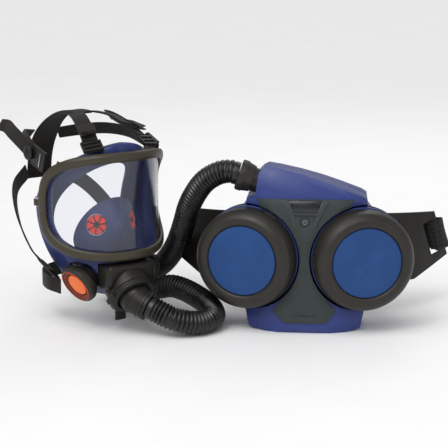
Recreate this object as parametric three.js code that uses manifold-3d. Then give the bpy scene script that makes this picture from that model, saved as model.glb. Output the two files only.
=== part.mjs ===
// A powered air respirator: a fan unit with two round filters on a belt plate, a breathing hose,
// and a full-face mask with its harness. Millimetres, +Z up. The origin is the middle of the fan
// unit's flat foot. The fan unit faces -Y, and the mask stands beside it at -X.
import * as THREE from "three";
import { mergeVertices } from "three/addons/utils/BufferGeometryUtils.js";
import Module from "manifold-3d";

const wasm = await Module();
wasm.setup();

// ---- Driving dimensions ----
const GAP = 0.3; // clearance between pieces that touch
const MERGE = 1e-4; // vertices closer than this are one
const WALL = 2.5; // shell thickness
const ROUND = 20; // segments of a full turn
const FINE_ROUND = 32;

const BODY_REAR = 35; // rear face of the fan unit
const BODY_FRONT = -42; // foremost point of the fan unit
const BODY_HALF_WIDTH = 94;
const SHELL_SPLIT = 5; // where the front shell meets the rear shell
const FOOT_HALF_WIDTH = 45;
const FOOT_HALF_SKIRT = 65;

const FILTER_X = 61; // filter seat centre
const FILTER_Y = -10;
const FILTER_Z = 87;
const FILTER_SPLAY = THREE.MathUtils.degToRad(15);
const FILTER_RADIUS = 58.5;
const POCKET_RADIUS = 62.2;
const NECK_RADIUS = 22;
const NECK_DEPTH = 12;
const COVER_RADIUS = 40.6;

const OUTLET = new THREE.Vector3(-60, -6, 174);
const OUTLET_AXIS = new THREE.Vector3(-0.945, 0, 0.326).normalize();
const SPIGOT_RADIUS = 14;
const COLLAR_RADIUS = 18;
const COLLAR_END = 19.4;
const SPIGOT_END = 17.8;

const FAN_CENTRE_Z = 112; // motor, impeller and volute share this axis along Y
const BATTERY = { halfWidth: 44, front: 10, rear: 31.5, bottom: 0.5, top: 62 };

const BELT_FRONT = BODY_REAR + GAP;
const BELT_THICKNESS = 3;
const BELT_FLAT = 50; // half width of the flat middle
const BELT_TIP = 172;
const BELT_SWEEP = 0.0531; // how fast the wings bend back
const WEBBING_WIDTH = 38;
const WEBBING_THICKNESS = 1.6;

const HOSE_RADIUS = 14;
const HOSE_SIDES = 8;
const HOSE_STEPS = 54;
// The hose leaves the outlet, drops behind the chin, turns on the table and comes back to the elbow.
const HOSE_ROUTE = [
  [-78.7, -6, 180.5], [-88, -6, 183], [-98, -4, 182], [-107, -1.5, 178], [-116, 2, 172],
  [-124, 7, 163.5], [-131, 13, 153], [-137, 20, 142], [-142, 28, 130], [-147, 39, 114],
  [-153, 51, 97], [-160, 65, 80], [-169, 79, 64], [-179, 94, 50], [-190, 108, 39],
  [-203, 119, 29.5], [-218, 123.5, 21.5], [-233, 116.5, 16.5], [-241, 102, 14.4],
  [-240.5, 86, 14.4], [-232, 71, 15.5], [-217, 58.5, 19.5], [-200, 49, 24.5], [-181, 41, 29.5],
  [-162.7, 33.5, 34], [-147, 24, 32.5], [-132, 12.5, 28.5], [-118, 0, 23.5], [-109, -15, 18.5],
  [-106, -31, 15.5], [-110.5, -46, 14.4], [-121, -58, 14.6], [-135, -66, 17.5], [-150, -69.3, 22],
  [-165.4, -66.5, 28.7], [-176, -63.6, 33.4],
];

// The mask's own frame: it faces -Y, +X is to its right seen from in front, and the middle of the
// visor's height is at zero.
const MASK_PLACE = new THREE.Vector3(-255, 9, 150);
const MASK_TURN = THREE.MathUtils.degToRad(42);
const VISOR_HALF_WIDTH = 77; // the visor bends round an upright elliptic cylinder
const VISOR_DEPTH = 86;
const VISOR_MEAN_RADIUS = 82;
const VISOR_HALF_ARC = 117;
const VISOR_HALF_HEIGHT = 62.5;
const VISOR_SQUARENESS = 2.9;
const VISOR_DROOP = 1; // how much lower the sides are than the middle
const RIM_POINTS = 36;
const SILICONE = 2.2;

const PORT = new THREE.Vector3(0, -80, -100);
const PORT_AXIS = new THREE.Vector3(0, -0.788, -0.616).normalize();
const PORT_RADIUS = 27;
const ELBOW_RISE = 14; // from the port's face to the elbow's corner
const ELBOW_RADIUS = 17.5;

const VALVE_PLACE = new THREE.Vector3(48, -44, -93.5);
const VALVE_AXIS = new THREE.Vector3(0.87, -0.14, -0.46).normalize();
const VALVE_RADIUS = 24;
const INHALE_PLACE = new THREE.Vector3(24, -49, -25);
const INHALE_AXIS = new THREE.Vector3(0.62, -0.75, 0.2).normalize();

const HEAD_CENTRE = new THREE.Vector3(0, 26, 10);
const HEAD_SIZE = new THREE.Vector3(73, 93, 84);
const STRAP_WIDTH = 18;
const STRAP_THICKNESS = 1.8;

// ---- Finishes ----
const BLUE_SHELL = { color: 0x3c4a86, roughness: 0.45, metalness: 0 };
const BLUE_COVER = { color: 0x2c4f82, roughness: 0.6, metalness: 0 };
const GREY_PANEL = { color: 0x3f4744, roughness: 0.5, metalness: 0 };
const BLACK_PLASTIC = { color: 0x35322e, roughness: 0.5, metalness: 0 };
const BLACK_RUBBER = { color: 0x1e1d1c, roughness: 0.6, metalness: 0 };
const BLACK_STRAP = { color: 0x2c2a27, roughness: 0.9, metalness: 0 };
const STEEL = { color: 0xb8bcc0, roughness: 0.3, metalness: 1 };
const WHITE_MEDIA = { color: 0xe8e6df, roughness: 0.95, metalness: 0 };
const BOARD_GREEN = { color: 0x1f5c3a, roughness: 0.6, metalness: 0 };

const CLEAR_VISOR = { color: 0xdfe8ee, roughness: 0.05, metalness: 0, transparent: true, opacity: 0.35 };
const FRAME_PLASTIC = { color: 0x57503f, roughness: 0.45, metalness: 0 };
const BLUE_SILICONE = { color: 0x2a3a70, roughness: 0.5, metalness: 0 };
const ORANGE = { color: 0xff7a35, roughness: 0.5, metalness: 0 };
const RED_MEMBRANE = { color: 0xf03010, roughness: 0.5, metalness: 0 };

// ---- Solids ----
const vec = (x, y, z) => new THREE.Vector3(x, y, z);

function signedVolume(position, triangles) {
  const corner = (i) => vec(position[3 * i], position[3 * i + 1], position[3 * i + 2]);
  let total = 0;
  for (let i = 0; i < triangles.length; i += 3) {
    const [a, b, c] = [triangles[i], triangles[i + 1], triangles[i + 2]].map(corner);
    total += a.dot(b.cross(c)) / 6;
  }
  return total;
}

/** Turns a closed geometry into a solid with its faces pointing out. */
function solid(geometry) {
  const bare = geometry.clone();
  bare.deleteAttribute("normal");
  bare.deleteAttribute("uv");
  const merged = mergeVertices(bare, MERGE);
  const index = merged.index.array;
  const position = merged.attributes.position.array;
  const triangles = [];
  for (let i = 0; i < index.length; i += 3) {
    const [a, b, c] = [index[i], index[i + 1], index[i + 2]];
    if (a !== b && b !== c && c !== a) triangles.push(a, b, c);
  }
  if (signedVolume(position, triangles) < 0) triangles.reverse();
  const mesh = new wasm.Mesh({
    numProp: 3,
    vertProperties: new Float32Array(position),
    triVerts: new Uint32Array(triangles),
  });
  return new wasm.Manifold(mesh);
}

function geometryOf(shape) {
  const mesh = shape.getMesh();
  const geometry = new THREE.BufferGeometry();
  geometry.setAttribute("position", new THREE.BufferAttribute(mesh.vertProperties, mesh.numProp));
  geometry.setIndex([...mesh.triVerts]);
  geometry.computeVertexNormals();
  return geometry;
}

function piece(name, shape, finish) {
  const mesh = new THREE.Mesh(geometryOf(shape), new THREE.MeshStandardMaterial(finish));
  mesh.name = name;
  return mesh;
}

const joined = (shapes) => shapes.reduce((whole, shape) => whole.add(shape));
const moved = (shape, matrix) => shape.transform(matrix.elements);

function shapeOf(outline) {
  return new THREE.Shape(outline.map(([x, y]) => new THREE.Vector2(x, y)));
}

/** An outline in X and Y, extruded along Z. */
function prismZ(outline, low, high) {
  const geometry = new THREE.ExtrudeGeometry(shapeOf(outline), { depth: high - low, bevelEnabled: false });
  return solid(geometry.translate(0, 0, low));
}

/** An outline in X and Z, extruded along Y. */
function prismY(outline, low, high) {
  const geometry = new THREE.ExtrudeGeometry(shapeOf(outline), { depth: high - low, bevelEnabled: false });
  return solid(geometry.rotateX(Math.PI / 2).translate(0, high, 0));
}

/** An outline in Y and Z, extruded along X. */
function prismX(outline, low, high) {
  const geometry = new THREE.ExtrudeGeometry(shapeOf(outline), { depth: high - low, bevelEnabled: false });
  return solid(geometry.rotateX(Math.PI / 2).rotateZ(Math.PI / 2).translate(low, 0, 0));
}

/** A block between two corners. */
function block(low, high) {
  const size = high.clone().sub(low);
  const middle = low.clone().add(high).multiplyScalar(0.5);
  return solid(new THREE.BoxGeometry(size.x, size.y, size.z).translate(middle.x, middle.y, middle.z));
}

/** Pairs of radius and height, turned about Y. A profile that misses the axis is closed into a ring. */
function lathe(profile, segments = ROUND) {
  const onAxis = profile[0][0] === 0;
  const points = onAxis ? profile : [...profile, profile[0]];
  return solid(new THREE.LatheGeometry(points.map(([r, y]) => new THREE.Vector2(r, y)), segments));
}

/** A disc or a ring between two heights on Y. */
function disc(radius, low, high, bore = 0, segments = ROUND) {
  return lathe([[bore, low], [radius, low], [radius, high], [bore, high]], segments);
}

/** Moves every side of a counter-clockwise outline inwards by a distance. */
function inset(outline, distance) {
  const inward = (from, to) => {
    const along = new THREE.Vector2(to[0] - from[0], to[1] - from[1]).normalize();
    return new THREE.Vector2(-along.y, along.x);
  };
  const count = outline.length;
  return outline.map((point, i) => {
    const a = inward(outline[(i + count - 1) % count], point);
    const b = inward(point, outline[(i + 1) % count]);
    const step = distance / (1 + a.dot(b));
    return [point[0] + (a.x + b.x) * step, point[1] + (a.y + b.y) * step];
  });
}

/** The matrix that puts the origin at a place and turns +Y to an axis. */
function aimY(place, axis) {
  const turn = new THREE.Quaternion().setFromUnitVectors(vec(0, 1, 0), axis.clone().normalize());
  return new THREE.Matrix4().compose(place, turn, vec(1, 1, 1));
}

/** A group at a place, whose +Y looks along an axis. */
function aimedGroup(place, axis) {
  const group = new THREE.Group();
  aimY(place, axis).decompose(group.position, group.quaternion, group.scale);
  return group;
}

/** Triangles between rings of points, with the two end rings capped by a polygon or joined. */
function loft(rings, closed = false) {
  const count = rings[0].length;
  const position = rings.flat().flatMap((p) => [p.x, p.y, p.z]);
  const triangles = [];
  const last = closed ? rings.length : rings.length - 1;
  for (let i = 0; i < last; i += 1) {
    const here = i * count;
    const next = ((i + 1) % rings.length) * count;
    for (let j = 0; j < count; j += 1) {
      const k = (j + 1) % count;
      triangles.push(here + j, here + k, next + k, here + j, next + k, next + j);
    }
  }
  if (!closed) {
    const end = (rings.length - 1) * count;
    for (const [a, b, c] of capOf(rings[0])) triangles.push(c, b, a);
    for (const [a, b, c] of capOf(rings[rings.length - 1])) triangles.push(end + a, end + b, end + c);
  }
  const geometry = new THREE.BufferGeometry();
  geometry.setAttribute("position", new THREE.Float32BufferAttribute(position, 3));
  geometry.setIndex(triangles);
  return solid(geometry);
}

/** Triangulates one nearly flat ring in its own plane, wound the way the ring runs. */
function capOf(ring) {
  const middle = ring.reduce((sum, p) => sum.add(p), vec(0, 0, 0)).divideScalar(ring.length);
  const normal = vec(0, 0, 0);
  ring.forEach((p, i) => {
    const next = ring[(i + 1) % ring.length];
    normal.add(p.clone().sub(middle).cross(next.clone().sub(middle)));
  });
  normal.normalize();
  const across = ring[0].clone().sub(middle).projectOnPlane(normal).normalize();
  const up = normal.clone().cross(across);
  const flat = ring.map((p) => {
    const arm = p.clone().sub(middle);
    return new THREE.Vector2(arm.dot(across), arm.dot(up));
  });
  return THREE.ShapeUtils.triangulateShape(flat, []);
}

/** A smooth curve through points, sampled evenly. */
function smooth(points, count) {
  const curve = new THREE.CatmullRomCurve3(points, false, "centripetal");
  return curve.getSpacedPoints(count);
}

/** A flat strap along points. Its width, one or one a point, lies along each point's side vector. */
function ribbon(points, sides, width, thickness) {
  const rings = points.map((p, i) => {
    const before = points[Math.max(i - 1, 0)];
    const after = points[Math.min(i + 1, points.length - 1)];
    const along = after.clone().sub(before).normalize();
    const side = sides[i].clone().projectOnPlane(along).normalize();
    const out = along.clone().cross(side).multiplyScalar(thickness / 2);
    side.multiplyScalar((Array.isArray(width) ? width[i] : width) / 2);
    return [
      p.clone().add(side).add(out),
      p.clone().sub(side).add(out),
      p.clone().sub(side).sub(out),
      p.clone().add(side).sub(out),
    ];
  });
  return loft(rings);
}

/** A box with its width, length and thickness along three directions. */
function slab(middle, along, out, width, length, thickness) {
  const y = along.clone().normalize();
  const z = out.clone().projectOnPlane(y).normalize();
  const x = y.clone().cross(z);
  const turn = new THREE.Matrix4().makeBasis(x, y, z).setPosition(middle);
  return solid(new THREE.BoxGeometry(width, length, thickness).applyMatrix4(turn));
}

// ---- Fan unit ----
const FRONT_OUTLINE = [
  [-FOOT_HALF_WIDTH, 0], [FOOT_HALF_WIDTH, 0], [FOOT_HALF_SKIRT, 3], [69, 22],
  [88, 50], [BODY_HALF_WIDTH, 80], [BODY_HALF_WIDTH, 96], [84, 128], [72, 143],
  [70, 155.5], [64, 159.5], [42, 168.3], [18, 177], [-6, 184], [-29, 189.4], [-43.8, 192],
  [-49, 189.4], [-54.5, 184], [-58, 158], [-68, 155.4], [-71, 143], [-84, 128],
  [-BODY_HALF_WIDTH, 96], [-BODY_HALF_WIDTH, 80], [-88, 50], [-69, 22], [-FOOT_HALF_SKIRT, 3],
];
const SIDE_OUTLINE = [
  [-38, 0], [BODY_REAR, 0], [BODY_REAR, 148], [12, 200], [-14, 200], [-34, 150], [BODY_FRONT, 110],
  [BODY_FRONT, 5],
];

/** The body's plan: flat behind, and a shallow arch in front. */
function planOutline() {
  const steps = 12;
  const edge = -2;
  const arch = [];
  for (let i = 0; i <= steps; i += 1) {
    const x = -BODY_HALF_WIDTH + (2 * BODY_HALF_WIDTH * i) / steps;
    const rise = (x / BODY_HALF_WIDTH) ** 2;
    arch.push([x, BODY_FRONT + (edge - BODY_FRONT) * rise]);
  }
  return [...arch, [BODY_HALF_WIDTH, BODY_REAR - 6], [BODY_HALF_WIDTH - 6, BODY_REAR],
    [6 - BODY_HALF_WIDTH, BODY_REAR], [-BODY_HALF_WIDTH, BODY_REAR - 6]];
}

const FILTER_SIDES = [
  { name: "left", place: vec(-FILTER_X, FILTER_Y, FILTER_Z), turn: -FILTER_SPLAY },
  { name: "right", place: vec(FILTER_X, FILTER_Y, FILTER_Z), turn: FILTER_SPLAY },
];

function filterMatrix({ place, turn }) {
  return new THREE.Matrix4().makeRotationZ(turn).setPosition(place);
}

/** The body without its filter pockets, moved in by a distance, or out by a negative one. */
function bodyBlank(distance) {
  const deep = 100;
  const front = prismY(inset(FRONT_OUTLINE, distance), -deep, deep);
  const plan = prismZ(inset(planOutline(), distance), -deep, 3 * deep);
  const side = prismX(inset(SIDE_OUTLINE, distance), -2 * deep, 2 * deep);
  return front.intersect(plan).intersect(side);
}

/** The two round pockets that the filters sit in. */
function pockets(margin) {
  const reach = 80;
  const pocket = disc(POCKET_RADIUS + margin, -reach, margin, 0, FINE_ROUND);
  return joined(FILTER_SIDES.map((side) => moved(pocket, filterMatrix(side))));
}

/** What is cut from both shells: the necks' holes, the outlet's hole and room for its collar. */
function shellOpenings() {
  const neck = disc(NECK_RADIUS + GAP, -20, 20);
  const outlet = disc(SPIGOT_RADIUS + GAP, -20, 30).add(disc(COLLAR_RADIUS + 0.6, 1.5, 40));
  return joined([
    ...FILTER_SIDES.map((side) => moved(neck, filterMatrix(side))),
    moved(outlet, aimY(OUTLET, OUTLET_AXIS)),
  ]);
}

const BUTTON = { x: 0, z: 131, radius: 5.5, front: -39.5, back: -32 };
const BUTTON_HOLE = () => disc(BUTTON.radius + GAP, -60, -20).translate([BUTTON.x, 0, BUTTON.z]);

function shells() {
  const far = 300;
  const thick = bodyBlank(0).subtract(pockets(0));
  const hollow = bodyBlank(WALL).subtract(pockets(WALL));
  const walls = thick.subtract(hollow).subtract(shellOpenings());
  const frontHalf = block(vec(-far, -far, -far), vec(far, SHELL_SPLIT, far));
  const rearHalf = block(vec(-far, SHELL_SPLIT + GAP, -far), vec(far, far, far));
  const bay = block(
    vec(-BATTERY.halfWidth - GAP, BATTERY.front - GAP, -1),
    vec(BATTERY.halfWidth + GAP, BATTERY.rear + GAP, WALL + 1),
  );
  return [
    piece("front_shell", walls.intersect(frontHalf).subtract(BUTTON_HOLE()), BLUE_SHELL),
    piece("rear_shell", walls.intersect(rearHalf).subtract(bay), BLUE_SHELL),
  ];
}

const PANEL_OUTLINE = [
  [-25, 12.5], [25, 12.5], [36.5, 26], [12, 60], [12, 100], [50, 140], [55.5, 156.5],
  [-55.5, 156.5], [-50, 140], [-12, 100], [-12, 60], [-36.5, 26],
];
const WINDOW_OUTLINE = [[-14, 142], [14, 142], [19.5, 155.5], [-19.5, 155.5]];
const FRAME_OUTLINE = [[-11.5, 125], [11.5, 125], [27, 156], [-27, 156]];

/** A thin layer over the body's front face, within an outline in X and Z. */
function frontLayer(outline, inner, outer) {
  const layer = bodyBlank(-outer).subtract(bodyBlank(-inner));
  return layer.intersect(prismY(outline, -80, -15));
}

function controls() {
  const panelTop = 1.8;
  const slot = block(vec(-13.5, -60, 20), vec(13.5, -20, 22.4));
  const panel = frontLayer(PANEL_OUTLINE, GAP, panelTop)
    .subtract(pockets(0.2))
    .subtract(BUTTON_HOLE())
    .subtract(slot);
  const window = frontLayer(WINDOW_OUTLINE, panelTop + GAP, panelTop + 1.3);
  const bars = frontLayer(FRAME_OUTLINE, panelTop - 0.5, panelTop + 2)
    .subtract(prismY(inset(WINDOW_OUTLINE, -GAP), -90, 0))
    .subtract(prismY([[-8, 100], [8, 100], [13.5, 139.5], [-13.5, 139.5]], -90, 0));
  const button = disc(BUTTON.radius, BUTTON.front, BUTTON.back).translate([BUTTON.x, 0, BUTTON.z]);
  return [
    piece("centre_panel", panel.add(bars).subtract(BUTTON_HOLE()), GREY_PANEL),
    piece("display_window", window, { color: 0x0d1114, roughness: 0.1, metalness: 0 }),
    piece("power_button", button, GREY_PANEL),
  ];
}

/** One filter: a fixed seat, and the cartridge, holder, cover and prefilter that turn on it. */
function filterSet(side) {
  const group = new THREE.Group();
  group.position.copy(side.place);
  group.rotation.z = side.turn;
  const cartridge = lathe([
    [18, NECK_DEPTH], [NECK_RADIUS, NECK_DEPTH], [NECK_RADIUS, -6.3], [59.5, -6.3], [59.5, -15.5],
    [57, -15.5], [57, -30], [18, -30],
  ], FINE_ROUND).add(disc(18.5, -30, -26));
  const holder = lathe([
    [40.9, -37], [40.9, -42.2], [42.5, -43.8], [46, -44.4], [51, -42.8], [55.5, -38.5], [58, -33],
    [FILTER_RADIUS, -28], [FILTER_RADIUS, -16], [57.3, -16], [57.3, -30.3], [53, -33.5], [48, -36.6],
  ], FINE_ROUND);
  const cover = lathe([[0, -36.5], [COVER_RADIUS, -36.5], [COVER_RADIUS, -42.2], [30, -43], [0, -43.4]],
    FINE_ROUND);
  group.add(
    piece(`filter_seat_${side.name}`, disc(60, -6, -GAP, NECK_RADIUS + GAP, FINE_ROUND), BLACK_RUBBER),
    piece(`filter_cartridge_${side.name}`, cartridge, BLUE_SHELL),
    piece(`filter_holder_${side.name}`, holder, BLACK_PLASTIC),
    piece(`filter_cover_${side.name}`, cover, BLUE_COVER),
    piece(`prefilter_${side.name}`, disc(46, -35.9, -30.6), WHITE_MEDIA),
  );
  return group;
}

function outlet() {
  const group = aimedGroup(OUTLET, OUTLET_AXIS);
  const spigot = lathe([
    [11, -9], [SPIGOT_RADIUS, -9], [SPIGOT_RADIUS, SPIGOT_END], [11, SPIGOT_END],
  ]);
  const collar = lathe([
    [SPIGOT_RADIUS + GAP, 2], [15.2, 2], [17.4, 11], [COLLAR_RADIUS, 11.5], [COLLAR_RADIUS, 18.4],
    [COLLAR_RADIUS - 1, COLLAR_END], [SPIGOT_RADIUS + GAP, COLLAR_END],
  ]);
  group.add(
    piece("outlet_spigot", spigot, BLACK_PLASTIC),
    piece("outlet_collar", collar, BLACK_PLASTIC),
  );
  return group;
}

function driveTrain() {
  const atAxis = (shape) => shape.translate([0, 0, FAN_CENTRE_Z]);
  const motor = disc(16, -14, 8).add(disc(3, 7, 20));
  const blade = block(vec(7, 13, -0.8), vec(27, 25, 0.8));
  const blades = [];
  const bladeCount = 12;
  for (let i = 0; i < bladeCount; i += 1) {
    blades.push(blade.rotate([0, (360 * i) / bladeCount, 0]));
  }
  const impeller = joined([disc(28, 12, 13.5), disc(8, 12, 26), ...blades])
    .subtract(disc(3 + GAP, 0, 40));
  const volute = lathe([[30.5, 10], [34, 10], [34, 31.5], [12, 31.5], [12, 29], [30.5, 29]]);
  const board = block(vec(-24, -16, 140), vec(24, -14.4, 168));
  const battery = block(
    vec(-BATTERY.halfWidth, BATTERY.front, BATTERY.bottom),
    vec(BATTERY.halfWidth, BATTERY.rear, BATTERY.top),
  );
  return [
    piece("motor", atAxis(motor), STEEL),
    piece("impeller", atAxis(impeller), BLACK_PLASTIC),
    piece("volute", atAxis(volute), BLACK_PLASTIC),
    piece("circuit_board", board, BOARD_GREEN),
    piece("battery_pack", battery, BLACK_PLASTIC),
  ];
}

// ---- Belt ----
const BELT_OUTLINE = [
  [-131, 39], [-60, 38], [60, 38], [131, 39], [BELT_TIP, 64], [154, 120], [80, 126], [60, 137],
  [-60, 137], [-80, 126], [-154, 120], [-BELT_TIP, 64],
];

/** How far back the belt plate lies at a distance from its middle. */
function beltY(x) {
  return BELT_FRONT + BELT_SWEEP * Math.max(Math.abs(x) - BELT_FLAT, 0) ** 1.5;
}

const beltSlope = (x) => BELT_SWEEP * 1.5 * Math.sqrt(Math.max(Math.abs(x) - BELT_FLAT, 0)) * Math.sign(x);

function beltPlate() {
  const steps = 28;
  const reach = BELT_TIP + 4;
  const front = [];
  const back = [];
  for (let i = 0; i <= steps; i += 1) {
    const x = -reach + (2 * reach * i) / steps;
    const lean = beltSlope(x);
    const stretch = BELT_THICKNESS / Math.hypot(1, lean);
    front.push([x, beltY(x)]);
    back.unshift([x - lean * stretch, beltY(x) + stretch]);
  }
  const slot = (sign) => prismY(
    [[152, 66], [160, 69], [148, 109], [140, 106]].map(([x, z]) => [sign * x, z]), 0, 200);
  return prismZ([...front, ...back], 0, 200)
    .intersect(prismY(BELT_OUTLINE, 0, 200))
    .subtract(joined([slot(1), slot(-1), webbing(1, GAP), webbing(-1, GAP)]));
}

/** A strap from the buckle, behind the plate, round the wing's end bar and back through its slot. */
function webbing(sign, margin = 0) {
  const route = [
    vec(34, 48, 84), vec(60, 50, 84), vec(100, 68, 85), vec(132, 96, 86), vec(152, 110.5, 89),
    vec(161, 115, 91), vec(167, 112.5, 91.8), vec(168.3, 106, 91.8), vec(163.5, 97.3, 91),
    vec(158.5, 92.6, 90.3), vec(155, 89.6, 89.8), vec(152.3, 90, 89.4), vec(151.3, 94.2, 88.9),
    vec(147.5, 96.5, 88.4),
  ];
  const fullTilt = 0.3;
  const points = route.map((p) => vec(sign * p.x, p.y, p.z));
  const sides = route.map((p, i) => {
    const tilt = fullTilt * THREE.MathUtils.smoothstep(i, 1, 5);
    return vec(-sign * tilt, -tilt * beltSlope(p.x), 1);
  });
  return ribbon(points, sides, WEBBING_WIDTH + 2 * margin, WEBBING_THICKNESS + 2 * margin);
}

function belt() {
  const socket = block(vec(-12, 41.5, 64), vec(33, 54, 104))
    .subtract(block(vec(-13, 44, 68), vec(14, 51.5, 100)));
  const plug = block(vec(-33, 41.5, 66), vec(-12.5, 54, 102))
    .add(block(vec(-14, 45, 70), vec(12, 50.5, 98)));
  return [
    piece("belt_plate", beltPlate(), BLACK_PLASTIC),
    piece("webbing_left", webbing(-1), BLACK_STRAP),
    piece("webbing_right", webbing(1), BLACK_STRAP),
    piece("buckle_socket", socket, BLACK_PLASTIC),
    piece("buckle_plug", plug, BLACK_PLASTIC),
  ];
}

// ---- Hose ----
const HOSE_CURVE = new THREE.CatmullRomCurve3(HOSE_ROUTE.map((p) => vec(...p)), false, "centripetal");

function hose() {
  const section = new THREE.Shape();
  for (let i = 0; i < HOSE_SIDES; i += 1) {
    const angle = (2 * Math.PI * i) / HOSE_SIDES;
    const [x, y] = [HOSE_RADIUS * Math.cos(angle), HOSE_RADIUS * Math.sin(angle)];
    if (i === 0) section.moveTo(x, y);
    else section.lineTo(x, y);
  }
  section.closePath();
  const tube = new THREE.ExtrudeGeometry(section, { steps: HOSE_STEPS, extrudePath: HOSE_CURVE });
  return piece("hose", solid(tube), BLACK_RUBBER);
}

// ---- Mask ----
const maskGroup = new THREE.Group();
maskGroup.position.copy(MASK_PLACE);
maskGroup.rotation.z = MASK_TURN;
maskGroup.updateMatrix();

const mirrored = (v3, sign) => vec(sign * v3.x, v3.y, v3.z);
const SIDES = [{ name: "left", sign: -1 }, { name: "right", sign: 1 }];

/** A point of the visor's curved wall, from its distance round the wall, height and stand-off. */
function onWall(arc, z, out) {
  const angle = arc / VISOR_MEAN_RADIUS;
  const drop = VISOR_DROOP * (arc / VISOR_HALF_ARC) ** 2;
  return vec((VISOR_HALF_WIDTH + out) * Math.sin(angle), -(VISOR_DEPTH + out) * Math.cos(angle), z - drop);
}

const rounded = (value, power) => Math.sign(value) * Math.abs(value) ** power;

/** A point of the visor's rounded outline, grown by a distance and stood off the wall. */
function onRim(turn, grow, out, scale = 1) {
  const power = 2 / VISOR_SQUARENESS;
  const arc = scale * (VISOR_HALF_ARC + grow) * rounded(Math.cos(turn), power);
  const z = scale * (VISOR_HALF_HEIGHT + grow) * rounded(Math.sin(turn), power);
  return onWall(arc, z, out);
}

/** A ring of points, one for each step of a full turn. */
function turnRing(pointAt, count = RIM_POINTS) {
  return Array.from({ length: count }, (_, i) => pointAt((2 * Math.PI * i) / count));
}

function visor() {
  const edge = -5.6;
  const scales = [0.03, 0.3, 0.6, 0.8, 0.92, 1];
  const face = scales.map((scale) => turnRing((t) => onRim(t, edge, -0.4, scale)));
  const back = scales.map((scale) => turnRing((t) => onRim(t, edge, -2.2, scale))).reverse();
  return piece("visor", loft([...face, ...back]), CLEAR_VISOR);
}

/** The two frame halves clamp the visor and the face piece, and meet at the side screws. */
function visorFrame() {
  const section = [[-11, 0.8], [-10.5, 4], [-8, 5.5], [-3, 5.5], [0, 3.5], [0, -5], [-2.5, -5], [-2.5, 0.8]];
  const rings = turnRing((t) => section.map(([grow, out]) => onRim(t, grow, out)), RIM_POINTS);
  const whole = loft(rings, true);
  const far = 300;
  const seam = -11;
  const screws = SIDES.map(({ sign }) => screwAt(sign));
  const boss = (sign) => disc(5.5, -3, 4.5, 0, ROUND).transform(screwMatrix(sign).elements);
  const holes = joined(SIDES.map(({ sign }) => moved(disc(2.8, -20, 20), screwMatrix(sign))));
  const bossed = joined([whole, boss(-1), boss(1)]).subtract(holes);
  const upper = bossed.intersect(block(vec(-far, -far, seam + GAP / 2), vec(far, far, far)));
  const lower = bossed.intersect(block(vec(-far, -far, -far), vec(far, far, seam - GAP / 2)));
  return [
    piece("frame_upper", upper, FRAME_PLASTIC),
    piece("frame_lower", lower, FRAME_PLASTIC),
    piece("screw_left", screws[0], STEEL),
    piece("screw_right", screws[1], STEEL),
  ];
}

/** The screws stand upright through both halves' bosses, at the widest point of the frame. */
function screwMatrix(sign) {
  const place = onWall(sign * (VISOR_HALF_ARC + 4), 2, 0);
  return aimY(place, vec(0, 0, 1));
}

function screwAt(sign) {
  return moved(disc(2.5, -4, 4.5).add(disc(4, 4.6, 6.6)).add(disc(2.5, 4, 5)), screwMatrix(sign));
}

const MASK_MID = (t) => vec(
  71 * Math.cos(t),
  5 - (Math.sin(t) > 0 ? 77 : 83) * Math.sin(t) ** 2,
  (Math.sin(t) > 0 ? 70.5 : 100) * Math.sin(t),
);
const MASK_SEAL = (t) => vec(
  59 * Math.cos(t),
  18 * Math.cos(t) ** 2 + (Math.sin(t) > 0 ? -46 : -12) * Math.sin(t) ** 2,
  -25 + 88 * Math.sin(t),
);

/** A soft wall between an outer and an inner skin, joined at both edges. */
function softWall(lines, thickness) {
  const count = lines.length;
  const depth = lines[0].length;
  const inner = lines.map((line, i) => line.map((p, j) => {
    const before = lines[(i + count - 1) % count][j];
    const after = lines[(i + 1) % count][j];
    const along = line[Math.min(j + 1, depth - 1)].clone().sub(line[Math.max(j - 1, 0)]);
    const normal = after.clone().sub(before).cross(along).normalize();
    return p.clone().addScaledVector(normal, thickness);
  }));
  const ring = (grid, j) => grid.map((line) => line[j]);
  const order = Array.from({ length: depth }, (_, j) => j);
  return loft([...order.map((j) => ring(lines, j)), ...order.reverse().map((j) => ring(inner, j))], true);
}

function facepiece(cutters) {
  const lines = turnRing((t) => {
    const seal = MASK_SEAL(t);
    const lip = vec(seal.x * 0.78, seal.y - 8, -25 + (seal.z + 25) * 0.8);
    const route = [onRim(t, -6, -3), onRim(t, -6, -6), onRim(t, -6, -10), MASK_MID(t), seal, lip];
    return smooth(route, 9);
  });
  return softWall(lines, SILICONE).subtract(joined(cutters));
}

/** The nose cup inside the face piece. */
function innerMask(cutters) {
  const lines = turnRing((t) => {
    const high = Math.max(Math.sin(t), 0);
    const low = Math.max(-Math.sin(t), 0);
    const rim = vec(42 * Math.cos(t), -26 - 26 * high ** 2 - 8 * low, -45 + 50 * Math.sin(t));
    const mouth = vec(13 * Math.cos(t), -54, -72 + 11 * Math.sin(t));
    const middle = rim.clone().lerp(mouth, 0.5).add(vec(6 * Math.cos(t), -7, 5 * high));
    return smooth([mouth, middle, rim], 5);
  }, 32);
  return softWall(lines, 1.8).subtract(joined(cutters));
}

/** The rigid block under the visor that carries the port, its bore and the tab below the chin. */
function chinBlank(margin) {
  const outline = [[-90, -67], [-56, -67], [-56, -92], [-66, -98], [-84, -96]].reverse();
  const box = prismX(inset(outline, -margin), -33 - margin, 33 + margin);
  const port = disc(PORT_RADIUS + margin, -25 - margin, 3.4 + margin);
  const tab = block(vec(-7 - margin, -61 - margin, -140), vec(7 + margin, -58 + margin, -90));
  return joined([box, moved(port, aimY(PORT, PORT_AXIS)), tab]);
}

function chinHousing(valves) {
  const bore = disc(19, -23.8, 10).add(disc(15, -60, 0));
  return chinBlank(0).subtract(moved(bore, aimY(PORT, PORT_AXIS))).subtract(valves);
}

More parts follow.
